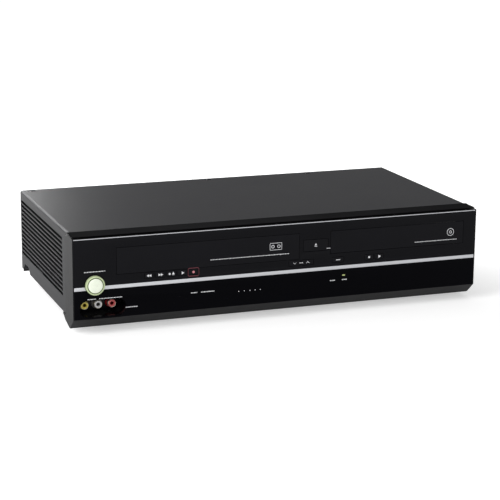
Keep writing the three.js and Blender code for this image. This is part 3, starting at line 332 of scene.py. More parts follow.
@dataclass(frozen=True)
class Coated(Finish):
    """Sheet steel with a baked coating of fine orange peel.

    Attributes:
        level: The specular level.
        peel: The orange peel's width.
        relief: Its depth.
        speck: The width of its specks.
        drift: The width of the slow shading.
        spread: How far the roughness strays.
        side_sheen: The weight of a clear coat on the upright sides only; it is a painted sheen that makes those
            sides look brighter where the light falls on them.
        side_sheen_roughness: That coat's roughness.
        side: The distance from the middle plane at which those sides start.
    """

    shades: tuple[float, float] = (0.92, 1.1)
    level: float = 0.5
    peel: float = 0.9 * MM
    relief: float = 0.012 * MM
    speck: float = 0.5 * MM
    drift: float = 70 * MM
    spread: float = 0.03
    side_sheen: float = 0.0
    side_sheen_roughness: float = 0.42
    side: float = 216.5 * MM

    def paint(self, painter: Painter) -> None:
        """Paints the peel, fine specks and slow shading of the coat.

        Args:
            painter: The material's painter.
        """
        specks = painter.cells(self.speck)
        slow = painter.noise(self.drift, 2.0)
        coat = painter.spread(slow, self.roughness - self.spread, self.roughness + self.spread)
        painter.set(
            Base_Color=painter.blend(slow, *self.tones()),
            Roughness=coat + specks * 0.04,
            Specular_IOR_Level=self.level,
        )
        painter.bump(painter.noise(self.peel, 3.0) + specks * 0.5, self.relief)
        # Painted sheen: a clear coat on the upright sides only, so that those sides look brighter where the
        # light falls on them.
        if self.side_sheen > 0:
            across = painter.number("ShaderNodeSeparateXYZ", "X", {0: painter.place})
            upright = across.math("ABSOLUTE").math("GREATER_THAN", self.side)
            painter.set(Coat_Weight=upright * self.side_sheen, Coat_IOR=1.5)
            painter.set(Coat_Roughness=self.side_sheen_roughness)


@dataclass(frozen=True)
class Metal(Finish):
    """Bare or plated metal with rolling marks along one axis.

    Attributes:
        run: How far the marks stretch along X, Y and Z.
        depth: The marks' depth.
        mark: The marks' width.
        cloud: The width of the plating's clouds.
    """

    shades: tuple[float, float] = (0.88, 1.08)
    run: Point = (0.02, 1.0, 1.0)
    depth: float = 0.004 * MM
    mark: float = 0.4 * MM
    cloud: float = 12 * MM

    def paint(self, painter: Painter) -> None:
        """Paints rolling marks and cloudy plating.

        Args:
            painter: The material's painter.
        """
        marks = painter.noise(self.mark, 3.0, painter.stretched(self.run))
        painter.set(
            Base_Color=painter.blend(painter.noise(self.cloud), *self.tones()),
            Roughness=painter.spread(marks, self.roughness - 0.07, self.roughness + 0.09),
            Metallic=1.0,
        )
        painter.bump(marks, self.depth)


@dataclass(frozen=True)
class Silvered(Finish):
    """Plastic with a satin silver film.

    Attributes:
        metallic: The film's share of metal.
        flake: The flakes' width.
        relief: Their depth.
        drift: The width of the slow shading.
    """

    shades: tuple[float, float] = (0.94, 1.05)
    metallic: float = 0.55
    flake: float = 0.25 * MM
    relief: float = 0.003 * MM
    drift: float = 40 * MM

    def paint(self, painter: Painter) -> None:
        """Paints a film with fine flakes.

        Args:
            painter: The material's painter.
        """
        flakes = painter.cells(self.flake)
        painter.set(
            Base_Color=painter.blend(painter.noise(self.drift, 2.0), *self.tones()),
            Roughness=painter.spread(flakes, self.roughness - 0.04, self.roughness + 0.08),
            Metallic=self.metallic,
        )
        painter.bump(flakes, self.relief)


@dataclass(frozen=True)
class Lit(Finish):
    """Clear plastic lit from behind.

    Attributes:
        glow: The glow's colour.
        strength: The glow's strength at its brightest.
        patch: The width of the lamp's uneven patches.
        dim: The glow's factor in the patches.
        skin: The width of the skin's ripple.
        relief: The ripple's depth.
    """

    shades: tuple[float, float] = (0.85, 1.0)
    glow: Color = (0.8, 1.0, 0.6)
    strength: float = 1.0
    patch: float = 5 * MM
    dim: float = 0.7
    skin: float = 1.2 * MM
    relief: float = 0.01 * MM

    def paint(self, painter: Painter) -> None:
        """Paints an uneven glow under a smooth skin.

        Args:
            painter: The material's painter.
        """
        uneven = painter.noise(self.patch, 2.0)
        dimmed = tuple(part * self.dim for part in self.glow)
        painter.set(
            Base_Color=painter.blend(uneven, *self.tones()),
            Roughness=painter.spread(uneven, self.roughness, self.roughness + 0.1),
            Emission_Color=painter.blend(uneven, dimmed, self.glow),
            Emission_Strength=self.strength,
        )
        painter.bump(painter.noise(self.skin), self.relief)


@dataclass(frozen=True)
class Print(Finish):
    """Screen-printed ink with slightly ragged cover.

    Attributes:
        ragged: The width of the ragged places.
        relief: Their depth.
    """

    shades: tuple[float, float] = (0.75, 1.0)
    ragged: float = 0.3 * MM
    relief: float = 0.004 * MM

    def paint(self, painter: Painter) -> None:
        """Paints thin and thick places of the ink.

        Args:
            painter: The material's painter.
        """
        cover = painter.noise(self.ragged, 3.0)
        painter.set(
            Base_Color=painter.blend(cover, *self.tones()),
            Roughness=painter.spread(cover, self.roughness, self.roughness + 0.15),
        )
        painter.bump(cover, self.relief)


@dataclass(frozen=True)
class Board(Finish):
    """A circuit board: lacquer over tracks and pads.

    Attributes:
        track: The colour of the tracks under the lacquer.
        pad: The colour of the soldered pads.
        rows: The tracks' rows to the metre, about.
        line: A track's width, as a share of its row.
        pitch: The pads' pitch.
        round: A pad's radius, as a share of the pitch.
        relief: The height of tracks and pads.
    """

    track: Color = (0.06, 0.25, 0.09)
    pad: Color = (0.6, 0.6, 0.58)
    rows: float = 120.0
    line: float = 0.012
    pitch: float = 4 * MM
    round: float = 0.16
    relief: float = 0.03 * MM

    def paint(self, painter: Painter) -> None:
        """Paints tracks in straight runs and round pads.

        Args:
            painter: The material's painter.
        """
        black, white = (0, 0, 0), (1, 1, 1)
        inputs = {
            "Vector": painter.place, "Scale": self.rows, "Mortar Size": self.line,
            "Color1": black, "Color2": black, "Mortar": white,
        }
        runs = painter.number("ShaderNodeTexBrick", "Fac", inputs, offset=0.37)
        pads = painter.cells(self.pitch).math("LESS_THAN", self.round)
        painter.set(
            Base_Color=painter.blend(pads, painter.blend(runs, self.color, self.track), self.pad),
            Roughness=painter.spread(runs, self.roughness, self.roughness - 0.1),
        )
        painter.bump(runs + pads, self.relief)


Loop = list[tuple[float, float]]


def rounded_loop(x: float, z: float, width: float, height: float, radius: float, steps: int = 6) -> Loop:
    """Returns a rectangle's outline with round corners.

    Args:
        x: The centre across.
        z: The centre's height.
        width: The full width.
        height: The full height.
        radius: The corners' radius.
        steps: The points in each corner.

    Returns:
        The points, anticlockwise.
    """
    radius = min(radius, width / 2, height / 2)
    points: Loop = []
    for quarter, (side, level) in enumerate(((1, 1), (-1, 1), (-1, -1), (1, -1))):
        middle = (x + side * (width / 2 - radius), z + level * (height / 2 - radius))
        for step in range(steps + 1):
            angle = (quarter + step / steps) * math.pi / 2
            points.append((middle[0] + radius * math.cos(angle), middle[1] + radius * math.sin(angle)))
    return points


def ring_loop(x: float, z: float, radius: float, steps: int = 48) -> Loop:
    """Returns a circle's outline as points."""
    turns = (2 * math.pi * i / steps for i in range(steps))
    return [(x + radius * math.cos(turn), z + radius * math.sin(turn)) for turn in turns]


def in_mm(*pairs: tuple[float, float]) -> Loop:
    """Returns pairs written in millimetres as metres."""
    return [(u * MM, v * MM) for u, v in pairs]


def about(radius: float, height: float, *pairs: tuple[float, float]) -> Loop:
    """Returns points of a profile, written in millimetres from a radius and a height."""
    return [(radius + u * MM, height + v * MM) for u, v in pairs]


def box_loop(low_x: float, high_x: float, low_z: float, high_z: float, radius: float = 0.0) -> Loop:
    """Returns a rectangle's outline between limits.

    Args:
        low_x: The left limit.
        high_x: The right limit.
        low_z: The lower limit.
        high_z: The upper limit.
        radius: The corners' radius.

    Returns:
        The points, anticlockwise.
    """
    middle = ((low_x + high_x) / 2, (low_z + high_z) / 2)
    if radius <= 0:
        return [(low_x, low_z), (high_x, low_z), (high_x, high_z), (low_x, high_z)]
    return rounded_loop(*middle, high_x - low_x, high_z - low_z, radius)


class Axis(Enum):
    """Which way a turned mesh's heights run."""

    UP = 0
    FORWARD = 1
    BACKWARD = -1

    def matrix(self) -> Matrix:
        """Returns the matrix that turns heights into that way; forward is towards -Y."""
        return Matrix.Rotation(self.value * math.pi / 2, 4, "X")


class Facing(Enum):
    """Which way a flat plate's outer face looks."""

    FRONT = "front"
    REAR = "rear"
    TOP = "top"

    def matrix(self, level: float) -> Matrix:
        """Returns the matrix that stands a flat plate up at a level along its facing.

        Args:
            level: The plate's level.

        Returns:
            The matrix.
        """
        if self is Facing.FRONT:
            return Matrix.Translation((0, level, 0)) @ Matrix.Rotation(math.pi / 2, 4, "X")
        if self is Facing.REAR:
            turn = Matrix.Rotation(math.pi / 2, 4, "X") @ Matrix.Diagonal((1, 1, -1, 1))
            return Matrix.Translation((0, level, 0)) @ turn
        return Matrix.Translation((0, 0, level))


def mesh_of(source: bpy.types.Object, name: str) -> bpy.types.Mesh:
    """Returns an object's evaluated mesh and removes the object.

    Args:
        source: A curve, or a mesh with modifiers.
        name: The mesh's name.

    Returns:
        The plain mesh.
    """
    bpy.context.view_layer.update()
    graph = bpy.context.evaluated_depsgraph_get()
    mesh = bpy.data.meshes.new_from_object(source.evaluated_get(graph), depsgraph=graph)
    mesh.name = name
    bpy.data.objects.remove(source)
    return mesh


def plate_mesh(
    loops: Sequence[Loop], outer: float, thickness: float, edge: float, facing: Facing = Facing.FRONT
) -> bpy.types.Mesh:
    """Makes a flat plate with holes and rounded edges.

    Args:
        loops: The outline and its holes; points are (x, z), or (x, y) for a top.
        outer: The outer face's place along the facing.
        thickness: The plate's thickness, inwards from the outer face.
        edge: The radius of its edges.
        facing: The way the outer face looks.

    Returns:
        The mesh.
    """
    curve = bpy.data.curves.new("outline", "CURVE")
    curve.dimensions, curve.fill_mode = "2D", "BOTH"
    curve.extrude = thickness / 2 - edge
    curve.bevel_depth, curve.bevel_resolution, curve.offset = edge, 2, -edge
    for loop in loops:
        spline = curve.splines.new("POLY")
        spline.points.add(len(loop) - 1)
        for point, (u, v) in zip(spline.points, loop):
            point.co = (u, v, 0, 1)
        spline.use_cyclic_u = True
    mesh = mesh_of(placed("outline", curve), "plate")
    inward = thickness / 2 if facing is Facing.FRONT else -thickness / 2
    mesh.transform(facing.matrix(outer + inward))
    return cleaned(mesh)


def cleaned(mesh: bpy.types.Mesh, sharp: float = 0.7) -> bpy.types.Mesh:
    """Merges doubles, turns faces outwards, and smooths all but faces square to an axis.

    Args:
        mesh: The mesh.
        sharp: The angle, in radians, past which an edge stays sharp.

    Returns:
        The same mesh.
    """
    net = bmesh.new()
    net.from_mesh(mesh)
    bmesh.ops.remove_doubles(net, verts=net.verts, dist=WELD)
    bmesh.ops.recalc_face_normals(net, faces=net.faces)
    for face in net.faces:
        face.smooth = max(abs(c) for c in face.normal) < SQUARE
    net.to_mesh(mesh)
    net.free()
    mesh.set_sharp_from_angle(angle=sharp)
    return mesh


def lathe_mesh(profile: Loop, centre: Point, axis: Axis = Axis.UP, steps: int = 48) -> bpy.types.Mesh:
    """Turns a profile about an axis.

    Args:
        profile: (radius, height) points from the top's axis or rim to the bottom's.
        centre: The axis's foot.
        axis: The way the heights run.
        steps: The facets round.

    Returns:
        The mesh.
    """
    net = bmesh.new()
    angles = [2 * math.pi * i / steps for i in range(steps)]
    rows = []
    for radius, height in profile:
        if radius < NIL:
            rows.append([net.verts.new((0, 0, height))])
            continue
        rows.append([net.verts.new((radius * math.cos(a), radius * math.sin(a), height)) for a in angles])
    for low, high in zip(rows, rows[1:]):
        for i in range(steps):
            j = (i + 1) % steps
            corners = [low[i % len(low)], low[j % len(low)], high[j % len(high)], high[i % len(high)]]
            net.faces.new(list(dict.fromkeys(corners)))
    mesh = bpy.data.meshes.new("turned")
    net.to_mesh(mesh)
    net.free()
    mesh.transform(Matrix.Translation(centre) @ axis.matrix())
    return cleaned(mesh)


def merged(meshes: Iterable[bpy.types.Mesh]) -> bpy.types.Mesh:
    """Puts several meshes into one.

    Args:
        meshes: The meshes; they are removed.

    Returns:
        The mesh.
    """
    net = bmesh.new()
    for mesh in list(meshes):
        net.from_mesh(mesh)
        bpy.data.meshes.remove(mesh)
    whole = bpy.data.meshes.new("merged")
    net.to_mesh(whole)
    net.free()
    return whole


def body_of(node: str) -> str:
    """Returns the body that a node rides on."""
    return next(body for body, names in frame["record"]["behaviour"]["bodies"].items() if node in names)


def add_piece(name: str, mesh: bpy.types.Mesh, finish: Finish, body: str, *nodes: str) -> bpy.types.Object:
    """Adds a finished mesh as a piece of the model.

    Args:
        name: The piece's name.
        mesh: Its mesh, in place.
        finish: Its finish.
        body: The body it rides on.
        nodes: The nodes that it stands for.

    Returns:
        The piece.
    """
    mesh.name = name
    mesh.materials.clear()
    mesh.materials.append(finish.material())
    piece = placed(name, mesh)
    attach(piece, body)
    if nodes:
        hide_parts(*nodes)
    return piece


def bevel(piece: bpy.types.Object, width: float, segments: int = 2, angle: float = 0.5) -> None:
    """Rounds a piece's edges with a live Bevel and weights its normals, so that wide faces shade flat.

    Args:
        piece: The piece.
        width: The bevel's width.
        segments: Its segments.
        angle: The least angle of an edge that is rounded.
    """
    rounder = piece.modifiers.new("edges", "BEVEL")
    rounder.width, rounder.segments = width, segments
    rounder.limit_method, rounder.angle_limit = "ANGLE", angle
    rounder.use_clamp_overlap, rounder.harden_normals = True, False
    rounder.miter_outer = "MITER_ARC"
    weights = piece.modifiers.new("shading", "WEIGHTED_NORMAL")
    weights.weight, weights.keep_sharp = 100, True


def node_mesh(node: str) -> bpy.types.Mesh:
    """Copies a node's mesh with its flat faces whole or, round holes, in few triangles.

    Args:
        node: The node.

    Returns:
        The mesh.
    """
    mesh = frame["nodes"][node].data.copy()
    net = bmesh.new()
    net.from_mesh(mesh)
    bmesh.ops.remove_doubles(net, verts=net.verts, dist=WELD)
    bmesh.ops.dissolve_limit(net, angle_limit=FLAT_ANGLE, verts=net.verts, edges=net.edges)
    wide = [face for face in net.faces if len(face.verts) > MANY_SIDES]
    bmesh.ops.triangulate(net, faces=wide)
    for face in net.faces:
        face.smooth = True
    net.to_mesh(mesh)
    net.free()
    mesh.set_sharp_from_angle(angle=SHARP_ANGLE)
    return mesh


def soften(node: str, finish: Finish, width: float = 0.25 * MM, segments: int = 2) -> None:
    """Replaces a node with a copy of it whose edges are rounded.

    Args:
        node: The node.
        finish: The finish.
        width: The rounding's width.
        segments: The rounding's segments.
    """
    piece = add_piece(f"{node}_form", node_mesh(node), finish, body_of(node), node)
    bevel(piece, width, segments)


def dress(node: str, finish: Finish) -> None:
    """Gives a node that keeps its own shape a finish.

    Args:
        node: The node.
        finish: The finish.
    """
    mesh = frame["nodes"][node].data
    for slot in range(max(1, len(mesh.materials))):
        if slot < len(mesh.materials):
            mesh.materials[slot] = finish.material()
        else:
            mesh.materials.append(finish.material())


def tone(red: float, green: float | None = None, blue: float | None = None) -> Color:
    """Returns a linear colour from display values of 0 to 255; one value gives a grey."""
    values = (red, red if green is None else green, red if blue is None else blue)
    return tuple(((v / 255 + 0.055) / 1.055) ** 2.4 if v > 10 else v / 255 / 12.92 for v in values)


# The cover's upright sides carry a painted sheen: a clear coat that the top does not have.
COVER = Coated("cover_coat", tone(40, 40, 42), 0.36, "cover_black", level=0.006, side_sheen=0.2)
# The louvre lips: a darker copy of the cover's coat, painted shade for lips that sit in the shade of the slots.
SHADED_LIP = Coated("lip_coat", tone(22, 22, 23), 0.5, "cover_black", level=0.004)
SCREW = Coated("screw_coat", tone(14), 0.4, "screw_black", level=0.03, peel=0.5 * MM)
REAR = Coated("rear_coat", tone(38, 38, 40), 0.5, "rear_black", level=0.25)
BEZEL = Moulded("bezel_grain", tone(13, 13, 15), 0.5, "bezel_matte", gloss=0.09)
# The bezel's polished top: with no specular, its flat colour, lighter than the bezel's, is a painted reflection
# of the dark that the top mirrors.
PAINTED_CROWN = Gloss("crown_polish", tone(29, 29, 30), 0.4, "bezel_matte", level=0.0)
PANEL = Gloss("panel_polish", tone(12, 12, 16), 0.1, "panel_gloss", level=0.07)
# The lower face: a darker, less glossy copy of the panel's polish, painted shade for the darker floor that the
# lower face reflects.
SHADED_PANEL = Gloss("lower_polish", tone(4, 4, 7), 0.12, "panel_gloss", level=0.025)
FLAP = Gloss("flap_polish", tone(15, 15, 19), 0.09, "panel_gloss", level=0.075)
KEY = Gloss("key_polish", tone(14, 14, 18), 0.12, "key_gloss", level=0.08)
CUP = Gloss("cup_polish", tone(6, 6, 8), 0.14, "jack_plastic", level=0.1)
SILVER = Silvered("silver_film", tone(192, 193, 197), 0.34, "silver")
BUTTON_WALL = Lit(
    "button_wall", tone(186, 200, 156), 0.3, "button_lit", glow=(0.54, 0.62, 0.4), strength=0.14
)
# The groove between wall and disc: a darker, dimmer copy of the lit plastic, painted shade in the groove.
BUTTON_GROOVE_SHADED = Lit("button_ring", tone(58, 72, 34), 0.4, "button_lit", glow=(0.3, 0.4, 0.1), strength=0.05)
BUTTON_FACE = Lit(
    "button_face", tone(222, 227, 212), 0.25, "button_lit",
    glow=(0.9, 1.0, 0.78), strength=0.28, patch=3 * MM,
)
LAMP = Lit(
    "lamp_pale", tone(150, 158, 96), 0.25, "button_lit", glow=(0.6, 0.7, 0.3), strength=0.3, patch=1 * MM
)
RUBBER = Moulded("foot_rubber", tone(28), 0.8, "foot_rubber", grain=0.6 * MM, gloss=0.15)
ZINC = Metal("zinc_sheet", tone(178, 180, 183), 0.38, "zinc_steel")
CHASSIS = Metal("chassis_sheet", tone(70, 71, 74), 0.5, "zinc_steel")
BRIGHT = Metal("ground_steel", tone(205, 206, 208), 0.24, "bright_steel", run=(1.0, 1.0, 0.03))
BRASS = Metal("contact_metal", tone(214, 208, 190), 0.28, "bright_steel", run=(1.0, 0.05, 1.0))
BLACK = Moulded("black_mould", tone(30, 30, 32), 0.5, "black_plastic", gloss=0.3)
GREY = Moulded("grey_mould", tone(120, 122, 124), 0.5, "grey_plastic")
WHITE = Moulded("white_mould", tone(222, 219, 210), 0.45, "white_plastic")
MOTOR = Coated("motor_coat", tone(70, 70, 74), 0.4, "motor_dark")
GREEN_BOARD = Board("board_lacquer", (0.02, 0.11, 0.045), 0.4, "board_green")
BROWN_BOARD = Board("board_paper", tone(170, 130, 82), 0.55, "board_brown", track=tone(196, 160, 110))
# The board behind the front: a darker copy of the brown board, painted shade for the board's edge behind the
# panel.
SHADED_BOARD = Board("board_dark_paper", tone(52, 43, 32), 0.6, "board_brown", track=tone(64, 55, 42))
# Each socket's plastic comes in two copies: the rings at the mouths are brightened as painted light, and the
# cores, bores and collars are darkened as painted shade in the cup.
YELLOW_RING_LIT = Moulded("ring_yellow", tone(252, 228, 110), 0.35, "jack_plastic")
WHITE_RING_LIT = Moulded("ring_white", tone(250, 250, 250), 0.35, "jack_plastic")
RED_RING_LIT = Moulded("ring_rose", tone(238, 120, 118), 0.35, "jack_plastic")
YELLOW_CORE_SHADED = Moulded("core_yellow", tone(112, 96, 24), 0.5, "jack_plastic", gloss=0.1)
WHITE_CORE_SHADED = Moulded("core_white", tone(104, 102, 100), 0.5, "jack_plastic", gloss=0.1)
RED_CORE_SHADED = Moulded("core_red", tone(124, 18, 24), 0.5, "jack_plastic", gloss=0.1)
COLLAR_YELLOW = Moulded("collar_yellow", tone(224, 188, 52), 0.4, "jack_plastic")
COLLAR_WHITE = Moulded("collar_white", tone(224, 222, 216), 0.4, "jack_plastic")
COLLAR_RED = Moulded("collar_red", tone(190, 40, 38), 0.4, "jack_plastic")
INK = Print("ink_pale", tone(246, 247, 250), 0.5, "panel_gloss")
RED_INK = Print("ink_rose", tone(222, 142, 150), 0.5, "panel_gloss")
RED_LINE = Print("ink_dark_red", tone(88, 14, 30), 0.5, "panel_gloss")
LENS = Gloss("lens_coat", tone(70, 50, 120), 0.05, "grey_plastic", level=0.6)

# The plane of the glossy faces, and the power button's place across and up.
FACE = -115.0 * MM
POWER = (-195.6 * MM, 50.7 * MM)


@dataclass(frozen=True)
class Lamp:
    """A soft box.

    Attributes:
        name: Its name.
        place: Where it hangs.
        aim: The point it faces.
        size: Its width and height.
        power: Its power in watts.
    """

    name: str
    place: Point
    aim: Point
    size: tuple[float, float]
    power: float

    def build(self) -> None:
        """Hangs the lamp."""
        light = bpy.data.lights.new(self.name, "AREA")
        light.shape, light.energy = "RECTANGLE", self.power
        light.size, light.size_y = self.size
        towards = (Vector(self.aim) - Vector(self.place)).to_track_quat("-Z", "Y")
        lamp = placed(self.name, light)
        lamp.matrix_world = Matrix.Translation(self.place) @ towards.to_matrix().to_4x4()


LAMPS = (
    Lamp("key_left", (-1.9, -0.7, 1.2), (0.0, 0.0, 0.05), (1.4, 1.0), 34),
    Lamp("fill_front", (0.1, -2.3, 0.75), (0.0, 0.0, 0.05), (1.6, 1.0), 11),
    Lamp("sheen_back", (-0.55, 2.0, 0.55), (-0.15, 0.0, 0.1), (1.6, 0.6), 66),
    Lamp("top", (0.3, 0.2, 2.2), (0.0, 0.0, 0.0), (1.8, 1.4), 3),
)


@dataclass
class Studio:
    """The camera, floor, lamps and surroundings.

    Attributes:
        place: The camera's place.
        lens: Its focal length in millimetres on a 36 mm sensor.
        pitch: Degrees that it looks down.
        yaw: Degrees that it turns right of +Y.
        roll: Degrees that it leans.
        clip: The nearest and the farthest distance that it sees.
        floor_reach: Half the floor's width.
        floor_color: The floor's diffuse share.
        floor_glow: What the floor adds for the camera near the object and far off.
        glow_reach: The distances at which the near glow ends and the far one starts.
        ambient: The strength of the surroundings' light.
    """

    place: Point = (-0.58889, -1.61079, 0.47058)
    lens: float = 118.32
    pitch: float = 13.981
    yaw: float = 20.310
    roll: float = 0.496
    clip: tuple[float, float] = (0.05, 50.0)
    floor_reach: float = 9.0
    floor_color: float = 0.8
    floor_glow: tuple[float, float] = (0.46, 0.75)
    glow_reach: tuple[float, float] = (0.35, 1.5)
    ambient: float = 0.36

    def build(self) -> None:
        """Makes everything round the object."""
        bpy.context.scene.view_settings.view_transform = "Standard"
        self._camera()
        self._world()
        self._floor()
        for lamp in LAMPS:
            lamp.build()

    def _camera(self) -> None:
        """Sets the camera to the photograph's view."""
        pitch, yaw, roll = (math.radians(a) for a in (self.pitch, self.yaw, self.roll))
        level = math.cos(pitch)
        ahead = Vector((level * math.sin(yaw), level * math.cos(yaw), -math.sin(pitch)))
        right = Vector((math.cos(yaw), -math.sin(yaw), 0))
        up = right.cross(ahead)
        across = math.cos(roll) * right + math.sin(roll) * up
        above = -math.sin(roll) * right + math.cos(roll) * up
        camera = placed("camera", bpy.data.cameras.new("camera"))
        camera.data.lens, camera.data.sensor_width = self.lens, 36.0
        camera.data.clip_start, camera.data.clip_end = self.clip
        turn = Matrix((across, above, -ahead)).transposed().to_4x4()
        camera.matrix_world = Matrix.Translation(self.place) @ turn
        bpy.context.scene.camera = camera

    def _seen(self, tree: bpy.types.NodeTree) -> bpy.types.NodeSocket:
        """Returns 1 where a ray comes straight, by gloss or through glass.

        Args:
            tree: The tree.

        Returns:
            The output socket.
        """
        path = add_node(tree, "ShaderNodeLightPath").outputs
        share = path["Is Camera Ray"]
        for name in ("Is Glossy Ray", "Is Transmission Ray"):
            either = {0: share, 1: path[name]}
            share = add_node(tree, "ShaderNodeMath", {"operation": "MAXIMUM"}, either).outputs[0]
        return share

    def _world(self) -> None:
        """Makes soft surroundings that show as white."""
        world = bpy.data.worlds.new("studio")
        bpy.context.scene.world = world
        world.use_nodes = True
        tree = world.node_tree
        light = next(n for n in tree.nodes if n.type == "BACKGROUND")
        output = next(n for n in tree.nodes if n.type == "OUTPUT_WORLD")
        white = (1.0, 1.0, 1.0)
        plug(light.inputs["Color"], white)
        plug(light.inputs["Strength"], self.ambient)
        shown = add_node(tree, "ShaderNodeBackground", None, {"Color": white})
        shares = {0: self._seen(tree), 1: light.outputs[0], 2: shown.outputs[0]}
        mix = add_node(tree, "ShaderNodeMixShader", None, shares)
        plug(output.inputs["Surface"], mix.outputs[0])

    def _paper(self) -> bpy.types.Material:
        """Returns the floor's material, matt to the light and nearly white to the eye.

        Returns:
            The material.
        """
        material = bpy.data.materials.new("floor_paper")
        material.use_nodes = True
        tree = material.node_tree
        tree.nodes.clear()
        matt = add_node(tree, "ShaderNodeBsdfDiffuse", None, {"Color": (self.floor_color,) * 3})
        place = {0: add_node(tree, "ShaderNodeTexCoord").outputs["Object"]}
        distance = add_node(tree, "ShaderNodeVectorMath", {"operation": "LENGTH"}, place)
        limits = dict(zip((1, 2, 3, 4), (*self.glow_reach, *self.floor_glow)))
        rise = add_node(tree, "ShaderNodeMapRange", None, {0: distance.outputs["Value"], **limits})
        glow = add_node(tree, "ShaderNodeEmission", None, {"Strength": rise.outputs[0]})
        both = add_node(tree, "ShaderNodeAddShader", None, {0: matt.outputs[0], 1: glow.outputs[0]})
        shares = {0: self._seen(tree), 1: matt.outputs[0], 2: both.outputs[0]}
        mix = add_node(tree, "ShaderNodeMixShader", None, shares)
        add_node(tree, "ShaderNodeOutputMaterial", None, {"Surface": mix.outputs[0]})
        return material

    def _floor(self) -> None:
        """Makes a pale floor that keeps the shadow."""
        mesh = bpy.data.meshes.new("floor")
        corners = [(x * self.floor_reach, y * self.floor_reach, 0) for x, y in box_loop(-1, 1, -1, 1)]
        mesh.from_pydata(corners, [], [(0, 1, 2, 3)])
        mesh.materials.append(self._paper())
        floor = placed("floor", mesh)


